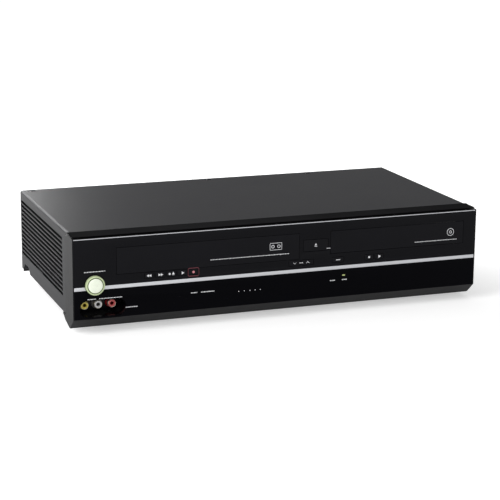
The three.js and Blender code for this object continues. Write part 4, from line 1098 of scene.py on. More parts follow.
@dataclass
class Cover:
    """The folded steel cover with its louvred sides.

    Attributes:
        side: Half its width.
        top: Its height.
        bend: The outer radius of its folds.
        sheet: The sheet's thickness.
        bottom: The sides' lower edge.
        front: The top's front edge.
        side_front: The sides' front edge.
        shoulder: The height at which the front edge steps back.
        rear: The rear edge.
        arch: Where the sides' arch starts and ends.
        arch_rise: Its height.
        lug: How far the rear lug hangs lower.
        slots: The count of slots on a side.
        pitch: Their pitch.
        lowest: The middle of the lowest slot.
        slot_height: A slot's height.
        slot_ends: Where a slot starts and ends.
        screws: The places of the screws across.
        screw_y: The screws' place along the depth.
        screw_hole: The radius of their holes.
        steps: The steps of a fold's bend.
        edge: The rounding of the sheet's edges.
    """

    side: float = 216.6 * MM
    top: float = 99.5 * MM
    bend: float = 2.6 * MM
    sheet: float = 0.8 * MM
    bottom: float = 14.5 * MM
    front: float = -90.9 * MM
    side_front: float = -83.7 * MM
    shoulder: float = 96.6 * MM
    rear: float = 116.6 * MM
    arch: tuple[float, float] = (77.6 * MM, 107.6 * MM)
    arch_rise: float = 6.3 * MM
    lug: float = 1.6 * MM
    slots: int = 13
    pitch: float = 4.73 * MM
    lowest: float = 31.8 * MM
    slot_height: float = 3.3 * MM
    slot_ends: tuple[float, float] = (-70.5 * MM, 113.2 * MM)
    screws: tuple[float, ...] = (-205 * MM, -3 * MM, 117 * MM)
    screw_y: float = 110.4 * MM
    screw_hole: float = 3.9 * MM
    steps: int = 6
    edge: float = 0.22 * MM

    def along(self, z: float) -> float:
        """Returns the distance along the section from the top's middle to a height on the side."""
        return self.side - self.bend + self.bend * math.pi / 2 + (self.top - self.bend - z)

    def outline(self) -> Loop:
        """Returns the flat pattern of the cover: distance along the section, and depth.

        Returns:
            The points.
        """
        step, low = self.along(self.shoulder), self.along(self.bottom)
        arch = low - self.arch_rise
        half = [
            (step, self.front),
            (step, self.side_front),
            (low, self.side_front),
            (low, self.arch[0]),
            (arch, self.arch[0] + self.arch_rise),
            (arch, self.arch[1] - self.arch_rise),
            (low, self.arch[1]),
            (low + self.lug, self.arch[1]),
            (low + self.lug, self.rear),
        ]
        return half + [(-u, y) for u, y in reversed(half)]

    def holes(self) -> list[Loop]:
        """Returns the slots' and screw holes' outlines on the flat pattern.

        Returns:
            The outlines.
        """
        middle = sum(self.slot_ends) / 2
        length = self.slot_ends[1] - self.slot_ends[0]
        corner = self.slot_height * 0.35
        loops = []
        for i in range(self.slots):
            u = self.along(self.lowest + i * self.pitch)
            for sign in (-1, 1):
                loops.append(rounded_loop(sign * u, middle, self.slot_height, length, corner, 3))
        return loops + [ring_loop(x, self.screw_y, self.screw_hole, 24) for x in self.screws]

    def folded(self, u: float, y: float) -> Point:
        """Returns the place of a point of the flat pattern on the folded cover.

        Args:
            u: The distance from the top's middle along the section.
            y: The depth.

        Returns:
            The place.
        """
        flat, level = self.side - self.bend, self.top - self.bend
        s, sign = abs(u), math.copysign(1, u)
        if s <= flat:
            return (u, y, self.top)
        turn = (s - flat) / self.bend
        if turn <= math.pi / 2:
            return (sign * (flat + self.bend * math.sin(turn)), y, level + self.bend * math.cos(turn))
        return (sign * self.side, y, level - (s - flat - self.bend * math.pi / 2))

    def mesh(self) -> bpy.types.Mesh:
        """Returns the cover's outer surface.

        Returns:
            The mesh.
        """
        net = bmesh.new()
        for loop in (self.outline(), *self.holes()):
            verts = [net.verts.new((u, y, 0)) for u, y in loop]
            for first, second in zip(verts, verts[1:] + verts[:1]):
                net.edges.new((first, second))
        bmesh.ops.triangle_fill(net, use_beauty=True, use_dissolve=False, edges=net.edges, normal=(0, 0, 1))
        flat = self.side - self.bend
        for i in range(self.steps + 1):
            for sign in (-1, 1):
                u = sign * (flat + self.bend * math.pi / 2 * i / self.steps)
                whole = net.verts[:] + net.edges[:] + net.faces[:]
                bmesh.ops.bisect_plane(net, geom=whole, dist=NIL, plane_co=(u, 0, 0), plane_no=(1, 0, 0))
        net.normal_update()
        for face in net.faces:
            if face.normal.z < 0:
                face.normal_flip()
        for vert in net.verts:
            vert.co = self.folded(vert.co.x, vert.co.y)
        net.normal_update()
        bmesh.ops.dissolve_limit(net, angle_limit=FOLD_ANGLE, verts=net.verts, edges=net.edges)
        for face in net.faces:
            face.smooth = True
        mesh = bpy.data.meshes.new("cover")
        net.to_mesh(mesh)
        net.free()
        mesh.set_sharp_from_angle(angle=SHARP_ANGLE)
        return mesh

    def build(self) -> None:
        """Makes the cover, its louvre lips and its screws."""
        piece = add_piece("cover_sheet", self.mesh(), COVER, "housing", "top_cover")
        wall = piece.modifiers.new("wall", "SOLIDIFY")
        wall.thickness, wall.offset = self.sheet, -1.0
        bevel(piece, self.edge, 2, 1.0)
        LouvreLips(self).build()
        CoverScrews(self).build()


class Grower:
    """Builds and runs one Geometry Nodes tree."""

    def __init__(self, name: str, **sizes: float | int) -> None:
        """Starts the tree.

        Args:
            name: Its name.
            sizes: Named inputs and their values; a whole number gives an integer input.
        """
        self.sizes = sizes
        self.tree = bpy.data.node_groups.new(name, "GeometryNodeTree")
        self.tree.interface.new_socket("Geometry", in_out="OUTPUT", socket_type="NodeSocketGeometry")
        for key, value in sizes.items():
            kind = "NodeSocketInt" if isinstance(value, int) else "NodeSocketFloat"
            self.tree.interface.new_socket(key, in_out="INPUT", socket_type=kind)
        self.inputs = self.tree.nodes.new("NodeGroupInput").outputs

    def add(self, kind: str, settings: dict | None = None, inputs: dict | None = None) -> bpy.types.Node:
        """Adds one node; see add_node."""
        return add_node(self.tree, kind, settings, inputs)

    def run(self, last: bpy.types.NodeSocket, finish: Finish) -> bpy.types.Mesh:
        """Ends the tree with realized geometry and a finish, and runs it.

        Args:
            last: The geometry's socket.
            finish: The finish.

        Returns:
            The plain mesh.
        """
        name = self.tree.name
        real = self.add("GeometryNodeRealizeInstances", None, {0: last})
        painting = {0: real.outputs[0], "Material": finish.material()}
        painted = self.add("GeometryNodeSetMaterial", None, painting)
        self.add("NodeGroupOutput", None, {0: painted.outputs[0]})
        holder = placed(name, bpy.data.meshes.new(name))
        grower = holder.modifiers.new("grow", "NODES")
        grower.node_group = self.tree
        for item in self.tree.interface.items_tree:
            if item.in_out == "INPUT":
                grower[item.identifier] = self.sizes[item.name]
        return mesh_of(holder, name)


def repeated(
    name: str, mesh: bpy.types.Mesh, places: Sequence[Point], finish: Finish, turn: float = 0.0
) -> bpy.types.Mesh:
    """Repeats a mesh at places with Geometry Nodes.

    Args:
        name: The tree's name.
        mesh: The mesh that is repeated.
        places: The places.
        finish: The finish.
        turn: The angle about Z from one copy to the next.

    Returns:
        The copies, as one mesh.
    """
    points = bpy.data.meshes.new(f"{name}_points")
    points.from_pydata(list(places), [], [])
    source, holder = placed(f"{name}_source", mesh), placed(f"{name}_places", points)
    grower = Grower(name, Turn=turn)
    settings = {"transform_space": "ORIGINAL"}
    where = grower.add("GeometryNodeObjectInfo", settings, {"Object": holder})
    item = grower.add("GeometryNodeObjectInfo", settings, {"Object": source})
    index = grower.add("GeometryNodeInputIndex")
    factors = {0: index.outputs[0], 1: grower.inputs["Turn"]}
    angle = grower.add("ShaderNodeMath", {"operation": "MULTIPLY"}, factors)
    turned = grower.add("ShaderNodeCombineXYZ", None, {"Z": angle.outputs[0]})
    feeds = {
        "Points": where.outputs["Geometry"],
        "Instance": item.outputs["Geometry"],
        "Rotation": turned.outputs[0],
    }
    copies = grower.add("GeometryNodeInstanceOnPoints", None, feeds)
    result = grower.run(copies.outputs[0], finish)
    for thing in (source, holder):
        bpy.data.objects.remove(thing)
    return result


@dataclass
class LouvreLips:
    """The lips pressed inwards at the slots, coloured with a darker copy of the cover's coat as painted shade.

    Attributes:
        cover: The cover they belong to.
        reach: A lip's width.
        thick: Its thickness.
        lean: Its slope in radians.
        inset: How far it ends short of the slot.
    """

    cover: Cover
    reach: float = 2.3 * MM
    thick: float = 0.5 * MM
    lean: float = 0.3
    inset: float = 0.6 * MM

    def side(self, sign: int) -> bpy.types.Mesh:
        """Returns one side's lips.

        Args:
            sign: -1 for the left side, 1 for the right one.

        Returns:
            The mesh.
        """
        cover = self.cover
        row_sizes = {"Count": cover.slots, "Pitch": cover.pitch}
        grower = Grower("lips", **row_sizes, Reach=self.reach, Thickness=self.thick)
        add, sizes = grower.add, grower.inputs
        x = sign * (cover.side - cover.sheet - self.reach * 0.6)
        start, end = cover.slot_ends[0] + self.inset, cover.slot_ends[1] - self.inset
        begin = (x, 0, cover.lowest + cover.slot_height * 0.5 + self.thick)
        rail = add("GeometryNodeCurvePrimitiveLine", None, {"Start": (0, start, 0), "End": (0, end, 0)})
        widths = {0: sizes["Reach"], 1: sizes["Thickness"]}
        section = add("GeometryNodeCurvePrimitiveQuadrilateral", None, widths)
        lean = {0: section.outputs[0], "Rotation": (0, 0, sign * self.lean)}
        turned = add("GeometryNodeTransform", None, lean)
        sweep = {0: rail.outputs[0], 1: turned.outputs[0], "Fill Caps": True}
        strip = add("GeometryNodeCurveToMesh", None, sweep)
        rise = add("ShaderNodeCombineXYZ", None, {"Z": sizes["Pitch"]})
        steps = {"Count": sizes["Count"], "Start Location": begin, "Offset": rise.outputs[0]}
        row = add("GeometryNodeMeshLine", {"mode": "OFFSET"}, steps)
        feeds = {"Points": row.outputs[0], "Instance": strip.outputs[0]}
        copies = add("GeometryNodeInstanceOnPoints", None, feeds)
        return grower.run(copies.outputs[0], SHADED_LIP)

    def build(self) -> None:
        """Adds the lips of both sides."""
        whole = merged([self.side(-1), self.side(1)])
        add_piece("louvre_lips", cleaned(whole, 0.5), SHADED_LIP, "housing")


@dataclass
class CoverScrews:
    """Cross-head screws that hold the cover at the rear.

    Attributes:
        cover: The cover they hold.
        head: The head's radius.
        stem: The stem's radius.
        length: The stem's length.
        cross: Half the cross's length and half its width.
        sunk: How far the heads sit under the cover's top.
        turn: The angle from one cross to the next.
    """

    cover: Cover
    head: float = 3.5 * MM
    stem: float = 1.35 * MM
    length: float = 6 * MM
    cross: tuple[float, float] = (1.9 * MM, 0.35 * MM)
    sunk: float = 0.25 * MM
    turn: float = 0.4

    def screw(self) -> bpy.types.Mesh:
        """Makes one screw, the level of its hole's rim at height 0.

        Returns:
            The mesh.
        """
        profile = [
            (0, -0.1 * MM), (self.head * 0.7, -0.25 * MM), (self.head * 0.93, -0.55 * MM),
            *about(self.head, 0, (0, -0.95), (0, -1.2)),
            (self.stem, -1.25 * MM), (self.stem, -self.length), (0, -self.length - 0.6 * MM),
        ]
        long, wide = self.cross
        slots = []
        for turn in (0, math.pi / 2):
            outline = box_loop(-long, long, -wide, wide, 0.2 * MM)
            slots.append(plate_mesh([outline], 0.02 * MM, 0.9 * MM, 0, Facing.TOP))
            slots[-1].transform(Matrix.Rotation(turn, 4, "Z"))
        head = placed("head", lathe_mesh(profile, (0, 0, 0), steps=24))
        tool = placed("tool", merged(slots))
        cutter = head.modifiers.new("cross", "BOOLEAN")
        cutter.object, cutter.operation, cutter.solver = tool, "DIFFERENCE", "EXACT"
        cutter.use_self = True
        result = mesh_of(head, "screw")
        bpy.data.objects.remove(tool)
        return cleaned(result, 0.6)

    def build(self) -> None:
        """Places a screw at each hole."""
        level = self.cover.top - self.sunk
        places = [(x, self.cover.screw_y, level) for x in self.cover.screws]
        mesh = repeated("screws", self.screw(), places, SCREW, self.turn)
        nodes = ("cover_screw_left", "cover_screw_middle", "cover_screw_right")
        add_piece("cover_screws", mesh, SCREW, "housing", *nodes)


def arc(x: float, z: float, radius: float, start: float, end: float, steps: int = 32) -> Loop:
    """Returns points on an arc between two angles."""
    turns = (start + (end - start) * i / steps for i in range(steps + 1))
    return [(x + radius * math.cos(turn), z + radius * math.sin(turn)) for turn in turns]


@dataclass
class Front:
    """The bezel, the glossy faces, the trims and a strip on top whose flat colour is a painted reflection on the
    polished top.

    Attributes:
        side: The faces' half width.
        low: The lower face's lower edge.
        trim: The wide trim's lower and upper edge.
        high: The upper face's upper edge.
        thick: The faces' thickness.
        trim_thick: The trim's thickness.
        corner: The faces' corner radius.
        hole: The radius of the hole for the power button.
        gap: The clearance round what moves.
        flap_hole: The limits of the flap's opening, across and up.
        tray_hole: The limits of the tray's opening.
        crown_half: Half the crown's width.
        crown_thick: Its thickness.
    """

    side: float = 216.3 * MM
    low: float = 16.7 * MM
    trim: tuple[float, float] = (45.7 * MM, 49.3 * MM)
    high: float = 96.4 * MM
    thick: float = 2.6 * MM
    trim_thick: float = 1.6 * MM
    corner: float = 2.0 * MM
    hole: float = 9.8 * MM
    gap: float = 0.3 * MM
    flap_hole: tuple[float, float, float, float] = (-173.7 * MM, 18.1 * MM, 59.5 * MM, 86.5 * MM)
    tray_hole: tuple[float, float, float, float] = (52.2 * MM, 203.1 * MM, 62.6 * MM, 86.5 * MM)
    crown_half: float = 216.6 * MM
    crown_thick: float = 0.25 * MM

    def ends(self, z: float) -> tuple[float, float]:
        """Returns the angles at which the power button's hole meets a level."""
        lift = math.asin((z - POWER[1]) / self.hole)
        return lift, math.pi - lift

    def upper(self) -> Loop:
        """Returns the upper face's outline, notched by the power button.

        Returns:
            The points.
        """
        right, left = self.ends(self.trim[1])
        notch = arc(*POWER, self.hole, left, right)
        left_side, right_side, r = -self.side, self.side, self.corner
        crown = arc(right_side - r, self.high - r, r, 0, math.pi / 2, 6)
        crown += arc(left_side + r, self.high - r, r, math.pi / 2, math.pi, 6)
        return [(left_side, self.trim[1]), *notch, (right_side, self.trim[1]), *crown]

    def lower(self) -> Loop:
        """Returns the lower face's outline, notched by the power button.

        Returns:
            The points.
        """
        right, left = self.ends(self.trim[0])
        notch = arc(*POWER, self.hole, right, left - 2 * math.pi)
        left_side, right_side, r = -self.side, self.side, self.corner
        foot = arc(left_side + r, self.low + r, r, math.pi, 1.5 * math.pi, 6)
        foot += arc(right_side - r, self.low + r, r, 1.5 * math.pi, 2 * math.pi, 6)
        return [*foot, (right_side, self.trim[0]), *notch, (left_side, self.trim[0])]

    def trims(self) -> list[Loop]:
        """Outlines the wide trim's two lengths.

        Returns:
            The outlines of the left and the right length.
        """
        low, high = self.trim
        low_right, low_left = self.ends(low)
        high_right, high_left = self.ends(high)
        left = [(-self.side, high), (-self.side, low), *arc(*POWER, self.hole, low_left, high_left, 8)]
        right = [(self.side, low), (self.side, high), *arc(*POWER, self.hole, high_right, low_right, 8)]
        return [left, right]

    def build(self) -> None:
        """Makes the bezel and everything fixed on its front."""
        soften("front_bezel", BEZEL, 0.35 * MM, 3)
        keys = [key.hole(self.gap) for key in KEYS]
        holes = [box_loop(*self.flap_hole), box_loop(*self.tray_hole), *keys]
        upper = plate_mesh([self.upper(), *holes], FACE, self.thick, 0.22 * MM)
        add_piece("upper_face", upper, PANEL, "housing", "front_panel")
        lower = plate_mesh([self.lower(), FrontSockets().mouth()], FACE, self.thick, 0.3 * MM)
        add_piece("lower_face", lower, SHADED_PANEL, "housing", "front_panel")
        trims = [plate_mesh([loop], FACE - 0.05 * MM, self.trim_thick, 0.3 * MM) for loop in self.trims()]
        add_piece("trim_band", merged(trims), SILVER, "housing", "silver_trim_strip")
        soften("silver_line_strip", SILVER, 0.25 * MM, 3)
        self.crown()

    def crown(self) -> None:
        """Lays a thin strip along the bezel's top edge, with no specular; its flat colour is a painted
        reflection on the polished top.
        """
        low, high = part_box("front_bezel")
        ends = (low.y + 1.6 * MM, Cover.front - 0.3 * MM)
        strip = box_loop(-self.crown_half, self.crown_half, *ends, 0.9 * MM)
        edge = 0.05 * MM
        mesh = plate_mesh([strip], high.z + edge, self.crown_thick, edge, Facing.TOP)
        add_piece("crown_strip", mesh, PAINTED_CROWN, "housing")


@dataclass
class Key:
    """A flush key: its cap, its flange behind the wall and its stem.

    Attributes:
        name: The node's and the body's name.
        x: The middle across.
        z: The middle's height.
        width: The cap's width.
        height: The cap's height.
        corner: The corners' radius.
        depth: The cap's depth.
        lip: How far the flange stands out on each side.
        stem: The stem's radius.
    """

    name: str
    x: float
    z: float = 55.7 * MM
    width: float = 9.6 * MM
    height: float = 5.6 * MM
    corner: float = 1.0 * MM
    depth: float = 5.8 * MM
    lip: float = 0.6 * MM
    stem: float = 1.5 * MM

    def hole(self, gap: float) -> Loop:
        """Returns the outline of the hole round the key."""
        return rounded_loop(self.x, self.z, self.width + 2 * gap, self.height + 2 * gap, self.corner + gap)

    def build(self) -> None:
        """Makes the key."""
        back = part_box(self.name)[1].y
        cap = plate_mesh([self.hole(0)], FACE, self.depth, 0.4 * MM)
        width, height = self.width + 2 * self.lip, self.height + 2 * self.lip
        rim = rounded_loop(self.x, self.z, width, height, self.corner)
        flange = plate_mesh([rim], FACE + self.depth - 0.4 * MM, 1.0 * MM, 0.1 * MM)
        length = back - (FACE + self.depth)
        profile = [(0, 0), *about(self.stem, 0, (-0.3, 0), (0, 0.3)), (self.stem, length), (0, length)]
        stem = lathe_mesh(profile, (self.x, back, self.z), Axis.FORWARD, 20)
        add_piece(f"{self.name}_cap", merged([cap, flange, stem]), KEY, self.name, self.name)


KEYS = [
    Key("rewind_key", -140.3 * MM),
    Key("fast_forward_key", -128.9 * MM),
    Key("stop_eject_key", -117.5 * MM),
    Key("play_key", -106.1 * MM),
    Key("record_key", -94.7 * MM),
    Key("channel_down_key", 13.2 * MM, width=12.4 * MM),
    Key("channel_up_key", 27.4 * MM, width=12.4 * MM),
    Key("source_key", 60.8 * MM, width=12.8 * MM),
    Key("dvd_stop_key", 95.6 * MM),
    Key("dvd_play_key", 107 * MM),
    Key("open_close_key", 36 * MM, 72.9 * MM, 27 * MM, 12 * MM),
]


@dataclass
class PowerButton:
    """The round button that stands out, lit from behind.

    Attributes:
        radius: Its radius.
        front: Its front face.
        back: Where the cap ends.
    """

    radius: float = 9.5 * MM
    front: float = -119 * MM
    back: float = -113.8 * MM

    def turned(self, name: str, profile: Loop, foot: float, finish: Finish, *nodes: str) -> None:
        """Adds a turned piece of the button.

        Args:
            name: The piece's name.
            profile: Its profile.
            foot: Where its heights start.
            finish: The finish.
            nodes: The nodes that it stands for.
        """
        x, z = POWER
        mesh = lathe_mesh(profile, (x, foot, z), Axis.FORWARD, FACETS_WIDE)
        add_piece(name, mesh, finish, "power_button", *nodes)

    def build(self) -> None:
        """Makes the clear wall, the lit disc, the groove between them, the stem and the collar."""
        x, z = POWER
        length = self.back - self.front
        r = self.radius
        shoulder = ((-2.3, -1.9), (-1.5, -1.8), (-1.35, -0.75), (-1.1, -0.6), (-0.35, -0.75), (0, -1.1))
        wall = [*about(r, length, *shoulder), *about(r, 0, (0, 0.1), (-0.3, 0)), (0, 0)]
        self.turned("power_wall", wall, self.back, BUTTON_WALL, "power_button")
        face = [
            (0, length), (r * 0.3, length - 0.04 * MM), (r * 0.55, length - 0.2 * MM),
            *about(r, length, (-2.6, -0.4), (-2.3, -0.7), (-2.25, -2)), (0, length - 2.1 * MM),
        ]
        self.turned("power_disc", face, self.back, BUTTON_FACE)
        groove = about(r, length, (-2.3, -1), (-1.36, -1), (-1.4, -1.7), (-2.28, -1.7), (-2.3, -1))
        self.turned("power_groove", groove, self.back, BUTTON_GROOVE_SHADED)
        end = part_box("power_button")[1].y
        head = about(0, end - self.back, (0, 0.2), (4, 0.2), (4, -4.2), (5.8, -4.3), (5.8, -5.4), (4, -5.5))
        stem = lathe_mesh([*head, *in_mm((4, 0.3), (3.6, 0), (0, 0))], (x, end, z), Axis.FORWARD, 32)
        add_piece("power_stem", stem, BLACK, "power_button")
        seat = in_mm((9.75, 0), (9.75, 2.2), (11, 2.2), (11, 0), (9.75, 0))
        collar = lathe_mesh(seat, (x, FACE + 4.8 * MM, z), Axis.FORWARD, FACETS_WIDE)
        add_piece("power_collar", collar, BLACK, "housing")


@dataclass
class FrontSockets:
    """The recessed cup with its three round sockets.

    Attributes:
        x: The cup's middle across.
        z: Its height.
        width: Its width.
        height: Its height.
        floor: Its floor's place.
        wall: Its wall's thickness.
        middle: The middle socket across.
        pitch: The sockets' pitch.
        shell: A socket's radius.
        bore: Its bore's radius.
        proud: How far a socket stands out of the floor.
    """

    x: float = -187.5 * MM
    z: float = 26.7 * MM
    width: float = 47 * MM
    height: float = 17.2 * MM
    floor: float = -93 * MM
    wall: float = 1.5 * MM
    middle: float = -188.4 * MM
    pitch: float = 13.9 * MM
    shell: float = 4.15 * MM
    bore: float = 1.9 * MM
    proud: float = 7 * MM

    def mouth(self, wall: float = 0.0) -> Loop:
        """Returns the cup's outline, grown by a wall."""
        width, height = self.width + 2 * wall, self.height + 2 * wall
        return rounded_loop(self.x, self.z, width, height, height / 2, 14)

    def cup(self) -> bpy.types.Mesh:
        """Returns the cup's wall, its floor and the block behind it.

        Returns:
            The mesh.
        """
        outer = self.mouth(self.wall)
        start = FACE + 2.9 * MM
        back = self.floor + self.wall
        wall = plate_mesh([outer, self.mouth()], start, back - start, 0.15 * MM)
        floor = plate_mesh([outer], self.floor, self.wall, 0.1 * MM)
        outline = rounded_loop(self.middle, self.z, 42 * MM, 13 * MM, 1 * MM)
        block = plate_mesh([outline], self.floor + self.wall * 0.5, 9.7 * MM, 0.3 * MM)
        return merged([wall, floor, block])

    def turned(self, x: float, *profiles: Loop) -> bpy.types.Mesh:
        """Returns profiles turned about a socket's axis."""
        centre = (x, self.floor, self.z)
        return merged([lathe_mesh(profile, centre, Axis.FORWARD, FACETS) for profile in profiles])

    def barrel(self, x: float) -> bpy.types.Mesh:
        """Returns one socket's metal barrel.

        Args:
            x: The socket's place across.

        Returns:
            The mesh.
        """
        r, top = self.shell, self.proud
        mouth = about(r, top, (-0.6, -0.7), (-0.5, -0.1), (-0.3, 0), (-0.05, -0.15), (0, -0.4))
        return self.turned(x, [*mouth, *about(r, 0, (0, 0), (-0.6, 0)), mouth[0]])

    def ring(self, x: float) -> bpy.types.Mesh:
        """Returns the ring at the barrel's mouth, in a brightened copy of the socket's colour as painted light.

        Args:
            x: The socket's place across.

        Returns:
            The mesh.
        """
        top = self.proud
        inner = about(self.bore, top, (0, -1.2), (0, -0.3), (0.35, 0.1))
        outer = about(self.shell, top, (-0.7, 0.15), (-0.5, 0), (-0.5, -1.2))
        return self.turned(x, [*inner, *outer, inner[0]])

    def core(self, x: float) -> bpy.types.Mesh:
        """Returns the coloured insulator with its deep bore, and the collar at its foot, in a darkened copy of
        the socket's colour as painted shade.

        Args:
            x: The socket's place across.

        Returns:
            The mesh.
        """
        r, b, top = self.shell, self.bore, self.proud
        collar = about(r, 0, (-0.1, 0), (-0.1, 1.5), (0.5, 1.6), (1.1, 1.4), (1.4, 1), (1.4, 0), (-0.1, 0))
        insulator = [
            (0, top - 6 * MM), *about(b, top, (-0.35, -6), (-0.3, -1.3), (0, -1.1)),
            (r - 0.62 * MM, top - 1.1 * MM), (r - 0.62 * MM, 0.1 * MM), (0, 0.1 * MM),
        ]
        return self.turned(x, insulator, collar)

    def build(self) -> None:
        """Makes the cup and the sockets."""
        add_piece("socket_cup", self.cup(), CUP, "housing", "front_jack_block")
        # pale: each colour's brightened copy, painted light; deep: its darkened copy, painted shade.
        colours = ((YELLOW_RING_LIT, YELLOW_CORE_SHADED), (WHITE_RING_LIT, WHITE_CORE_SHADED), (RED_RING_LIT, RED_CORE_SHADED))
        for step, (pale, deep) in zip((-1, 0, 1), colours):
            x = self.middle + step * self.pitch
            add_piece(f"socket_{pale.name}", self.ring(x), pale, "housing")
            add_piece(f"socket_{deep.name}", self.core(x), deep, "housing")
        barrels = [self.barrel(self.middle + step * self.pitch) for step in (-1, 0, 1)]
        add_piece("socket_barrels", merged(barrels), BRASS, "housing")


@dataclass
class Marks:
    """Plain symbols and light bars printed on the front.

    Attributes:
        level: The ink's outer face.
        thick: Its thickness.
        symbol: The radius of a key's small triangle.
        large: The radius of a large one.
        dash: The lengths of the short bars, by turns.
        gap: The gap between them.
    """

    level: float = FACE - 0.03 * MM
    thick: float = 0.06 * MM
    symbol: float = 1.6 * MM
    large: float = 1.84 * MM
    dash: tuple[float, ...] = (1.1 * MM, 0.7 * MM, 1.4 * MM, 0.9 * MM)
    gap: float = 0.45 * MM

    def put(
        self, name: str, loops: Sequence[Sequence[Loop]], body: str = "housing", finish: Finish = INK
    ) -> None:
        """Prints shapes on the front.

        Args:
            name: The piece's name.
            loops: Shapes, each an outline with its holes.
            body: The body that carries them.
            finish: The ink.
        """
        plates = [plate_mesh(list(shape), self.level, self.thick, 0) for shape in loops]
        add_piece(name, merged(plates), finish, body)

    @staticmethod
    def triangle(x: float, z: float, size: float, turn: float = 0.0) -> list[Loop]:
        """Returns a triangle that points along an angle."""
        corners = (0, 2 * math.pi / 3, 4 * math.pi / 3)
        return [[(x + size * math.cos(turn + a), z + size * math.sin(turn + a)) for a in corners]]

    @staticmethod
    def bar(x: float, z: float, width: float, height: float) -> list[Loop]:
        """Returns a bar about its middle."""
        return [box_loop(x - width / 2, x + width / 2, z - height / 2, z + height / 2)]

    def dashes(self, x: float, z: float, width: float, height: float) -> list[list[Loop]]:
        """Returns a row of short bars about its middle, each an outline of its own.

        Args:
            x: The middle across.
            z: The middle's height.
            width: The row's width.
            height: A bar's height.

        Returns:
            The bars' outlines.
        """
        row, at, last = [], x - width / 2, x + width / 2
        while at < last - 0.4 * MM:
            end = min(at + self.dash[len(row) % len(self.dash)], last)
            row.append([box_loop(at, end, z - height / 2, z + height / 2)])
            at = end + self.gap
        return row

    @staticmethod
    def chevron(x: float, z: float, width: float, height: float, line: float) -> list[Loop]:
        """Returns an angle mark; a negative height points down.

        Args:
            x: The middle across.
            z: The middle's height.
            width: The mark's width.
            height: Its height.
            line: Its line's width.

        Returns:
            The outline.
        """
        w, h = width / 2, height / 2
        lower = [(x - w, z - h), (x, z + h), (x + w, z - h)]
        return [lower + [(u, v + line) for u, v in reversed(lower)]]

    def keys(self) -> None:
        """Prints the keys' symbols."""
        place = {key.name: (key.x, key.z) for key in KEYS}
        s, up = self.symbol, math.pi / 2
        x, z = place["rewind_key"]
        pair = [self.triangle(x - s * 0.7, z, s, math.pi), self.triangle(x + s * 0.8, z, s, math.pi)]
        self.put("rewind_mark", pair, "rewind_key")
        x, z = place["fast_forward_key"]
        pair = [self.triangle(x - s * 0.8, z, s), self.triangle(x + s * 0.7, z, s)]
        self.put("forward_mark", pair, "fast_forward_key")
        x, z = place["stop_eject_key"]
        square = self.bar(x - 2 * MM, z, 1.8 * MM, 1.8 * MM)
        eject = [self.triangle(x + 1.8 * MM, z + 0.3 * MM, s, up)]
        eject.append(self.bar(x + 1.8 * MM, z - 1.0 * MM, 2.2 * MM, 0.4 * MM))
        self.put("stop_eject_mark", [square, *eject], "stop_eject_key")
        x, z = place["play_key"]
        self.put("play_mark", [self.triangle(x, z, self.large)], "play_key")
        x, z = place["record_key"]
        self.put("record_mark", [[ring_loop(x, z, 1.25 * MM)]], "record_key", RED_INK)
        outer = rounded_loop(x, z, 11.7 * MM, 8.9 * MM, 1.8 * MM)
        inner = rounded_loop(x, z, 10.7 * MM, 7.3 * MM, 1.2 * MM)
        self.put("record_outline", [[outer, inner]], "housing", RED_LINE)
        for way, height in (("down", -1.5 * MM), ("up", 1.5 * MM)):
            x, z = place[f"channel_{way}_key"]
            mark = self.chevron(x, z - 0.2 * MM, 3.4 * MM, height, 0.5 * MM)
            self.put(f"channel_{way}_mark", [mark], f"channel_{way}_key")
        self.put("source_mark", [self.bar(*place["source_key"], 4.6 * MM, 0.7 * MM)], "source_key")
        self.put("disc_stop_mark", [self.bar(*place["dvd_stop_key"], 1.9 * MM, 1.9 * MM)], "dvd_stop_key")
        self.put("disc_play_mark", [self.triangle(*place["dvd_play_key"], self.large)], "dvd_play_key")
        x, z = place["open_close_key"]
        eject = [self.triangle(x, z + 0.6 * MM, s, up), self.bar(x, z - 1.3 * MM, 2.8 * MM, 0.5 * MM)]
        self.put("open_close_mark", eject, "open_close_key")

    def panel(self) -> None:
        """Prints the bars and pictograms of the fixed faces."""
        bars = [
            (20.3, 55.7, 3.6, 0.8), (-195.6, 64.2, 21.0, 0.8), (50.0, 68.7, 4.0, 0.6), (-198.7, 36.7, 8.4, 0.8),
            (-179.8, 36.7, 23.0, 0.8), (-158.6, 25.7, 12.3, 0.8), (-94.2, 34.3, 6.4, 0.9),
            (-79.8, 34.3, 14.0, 0.9), (55.0, 34.3, 5.4, 0.9), (68.3, 34.3, 5.4, 1.0),
        ]
        shapes = [shape for bar in bars for shape in self.dashes(*(v * MM for v in bar))]
        dots = [[ring_loop(x * MM, 31.6 * MM, 0.45 * MM, 16)] for x in (-47, -41.1, -35, -29.4, -23.9)]
        self.put("face_marks", shapes + dots)
        lamp = rounded_loop(67.4 * MM, 39 * MM, 3.2 * MM, 1.4 * MM, 0.6 * MM)
        self.put("standby_lamp", [[lamp]], "housing", LAMP)

    @staticmethod
    def band(x: float, z: float, outer: float, inner: float) -> list[Loop]:
        """Returns a ring between two radii."""
        return [ring_loop(x, z, outer), ring_loop(x, z, inner)]

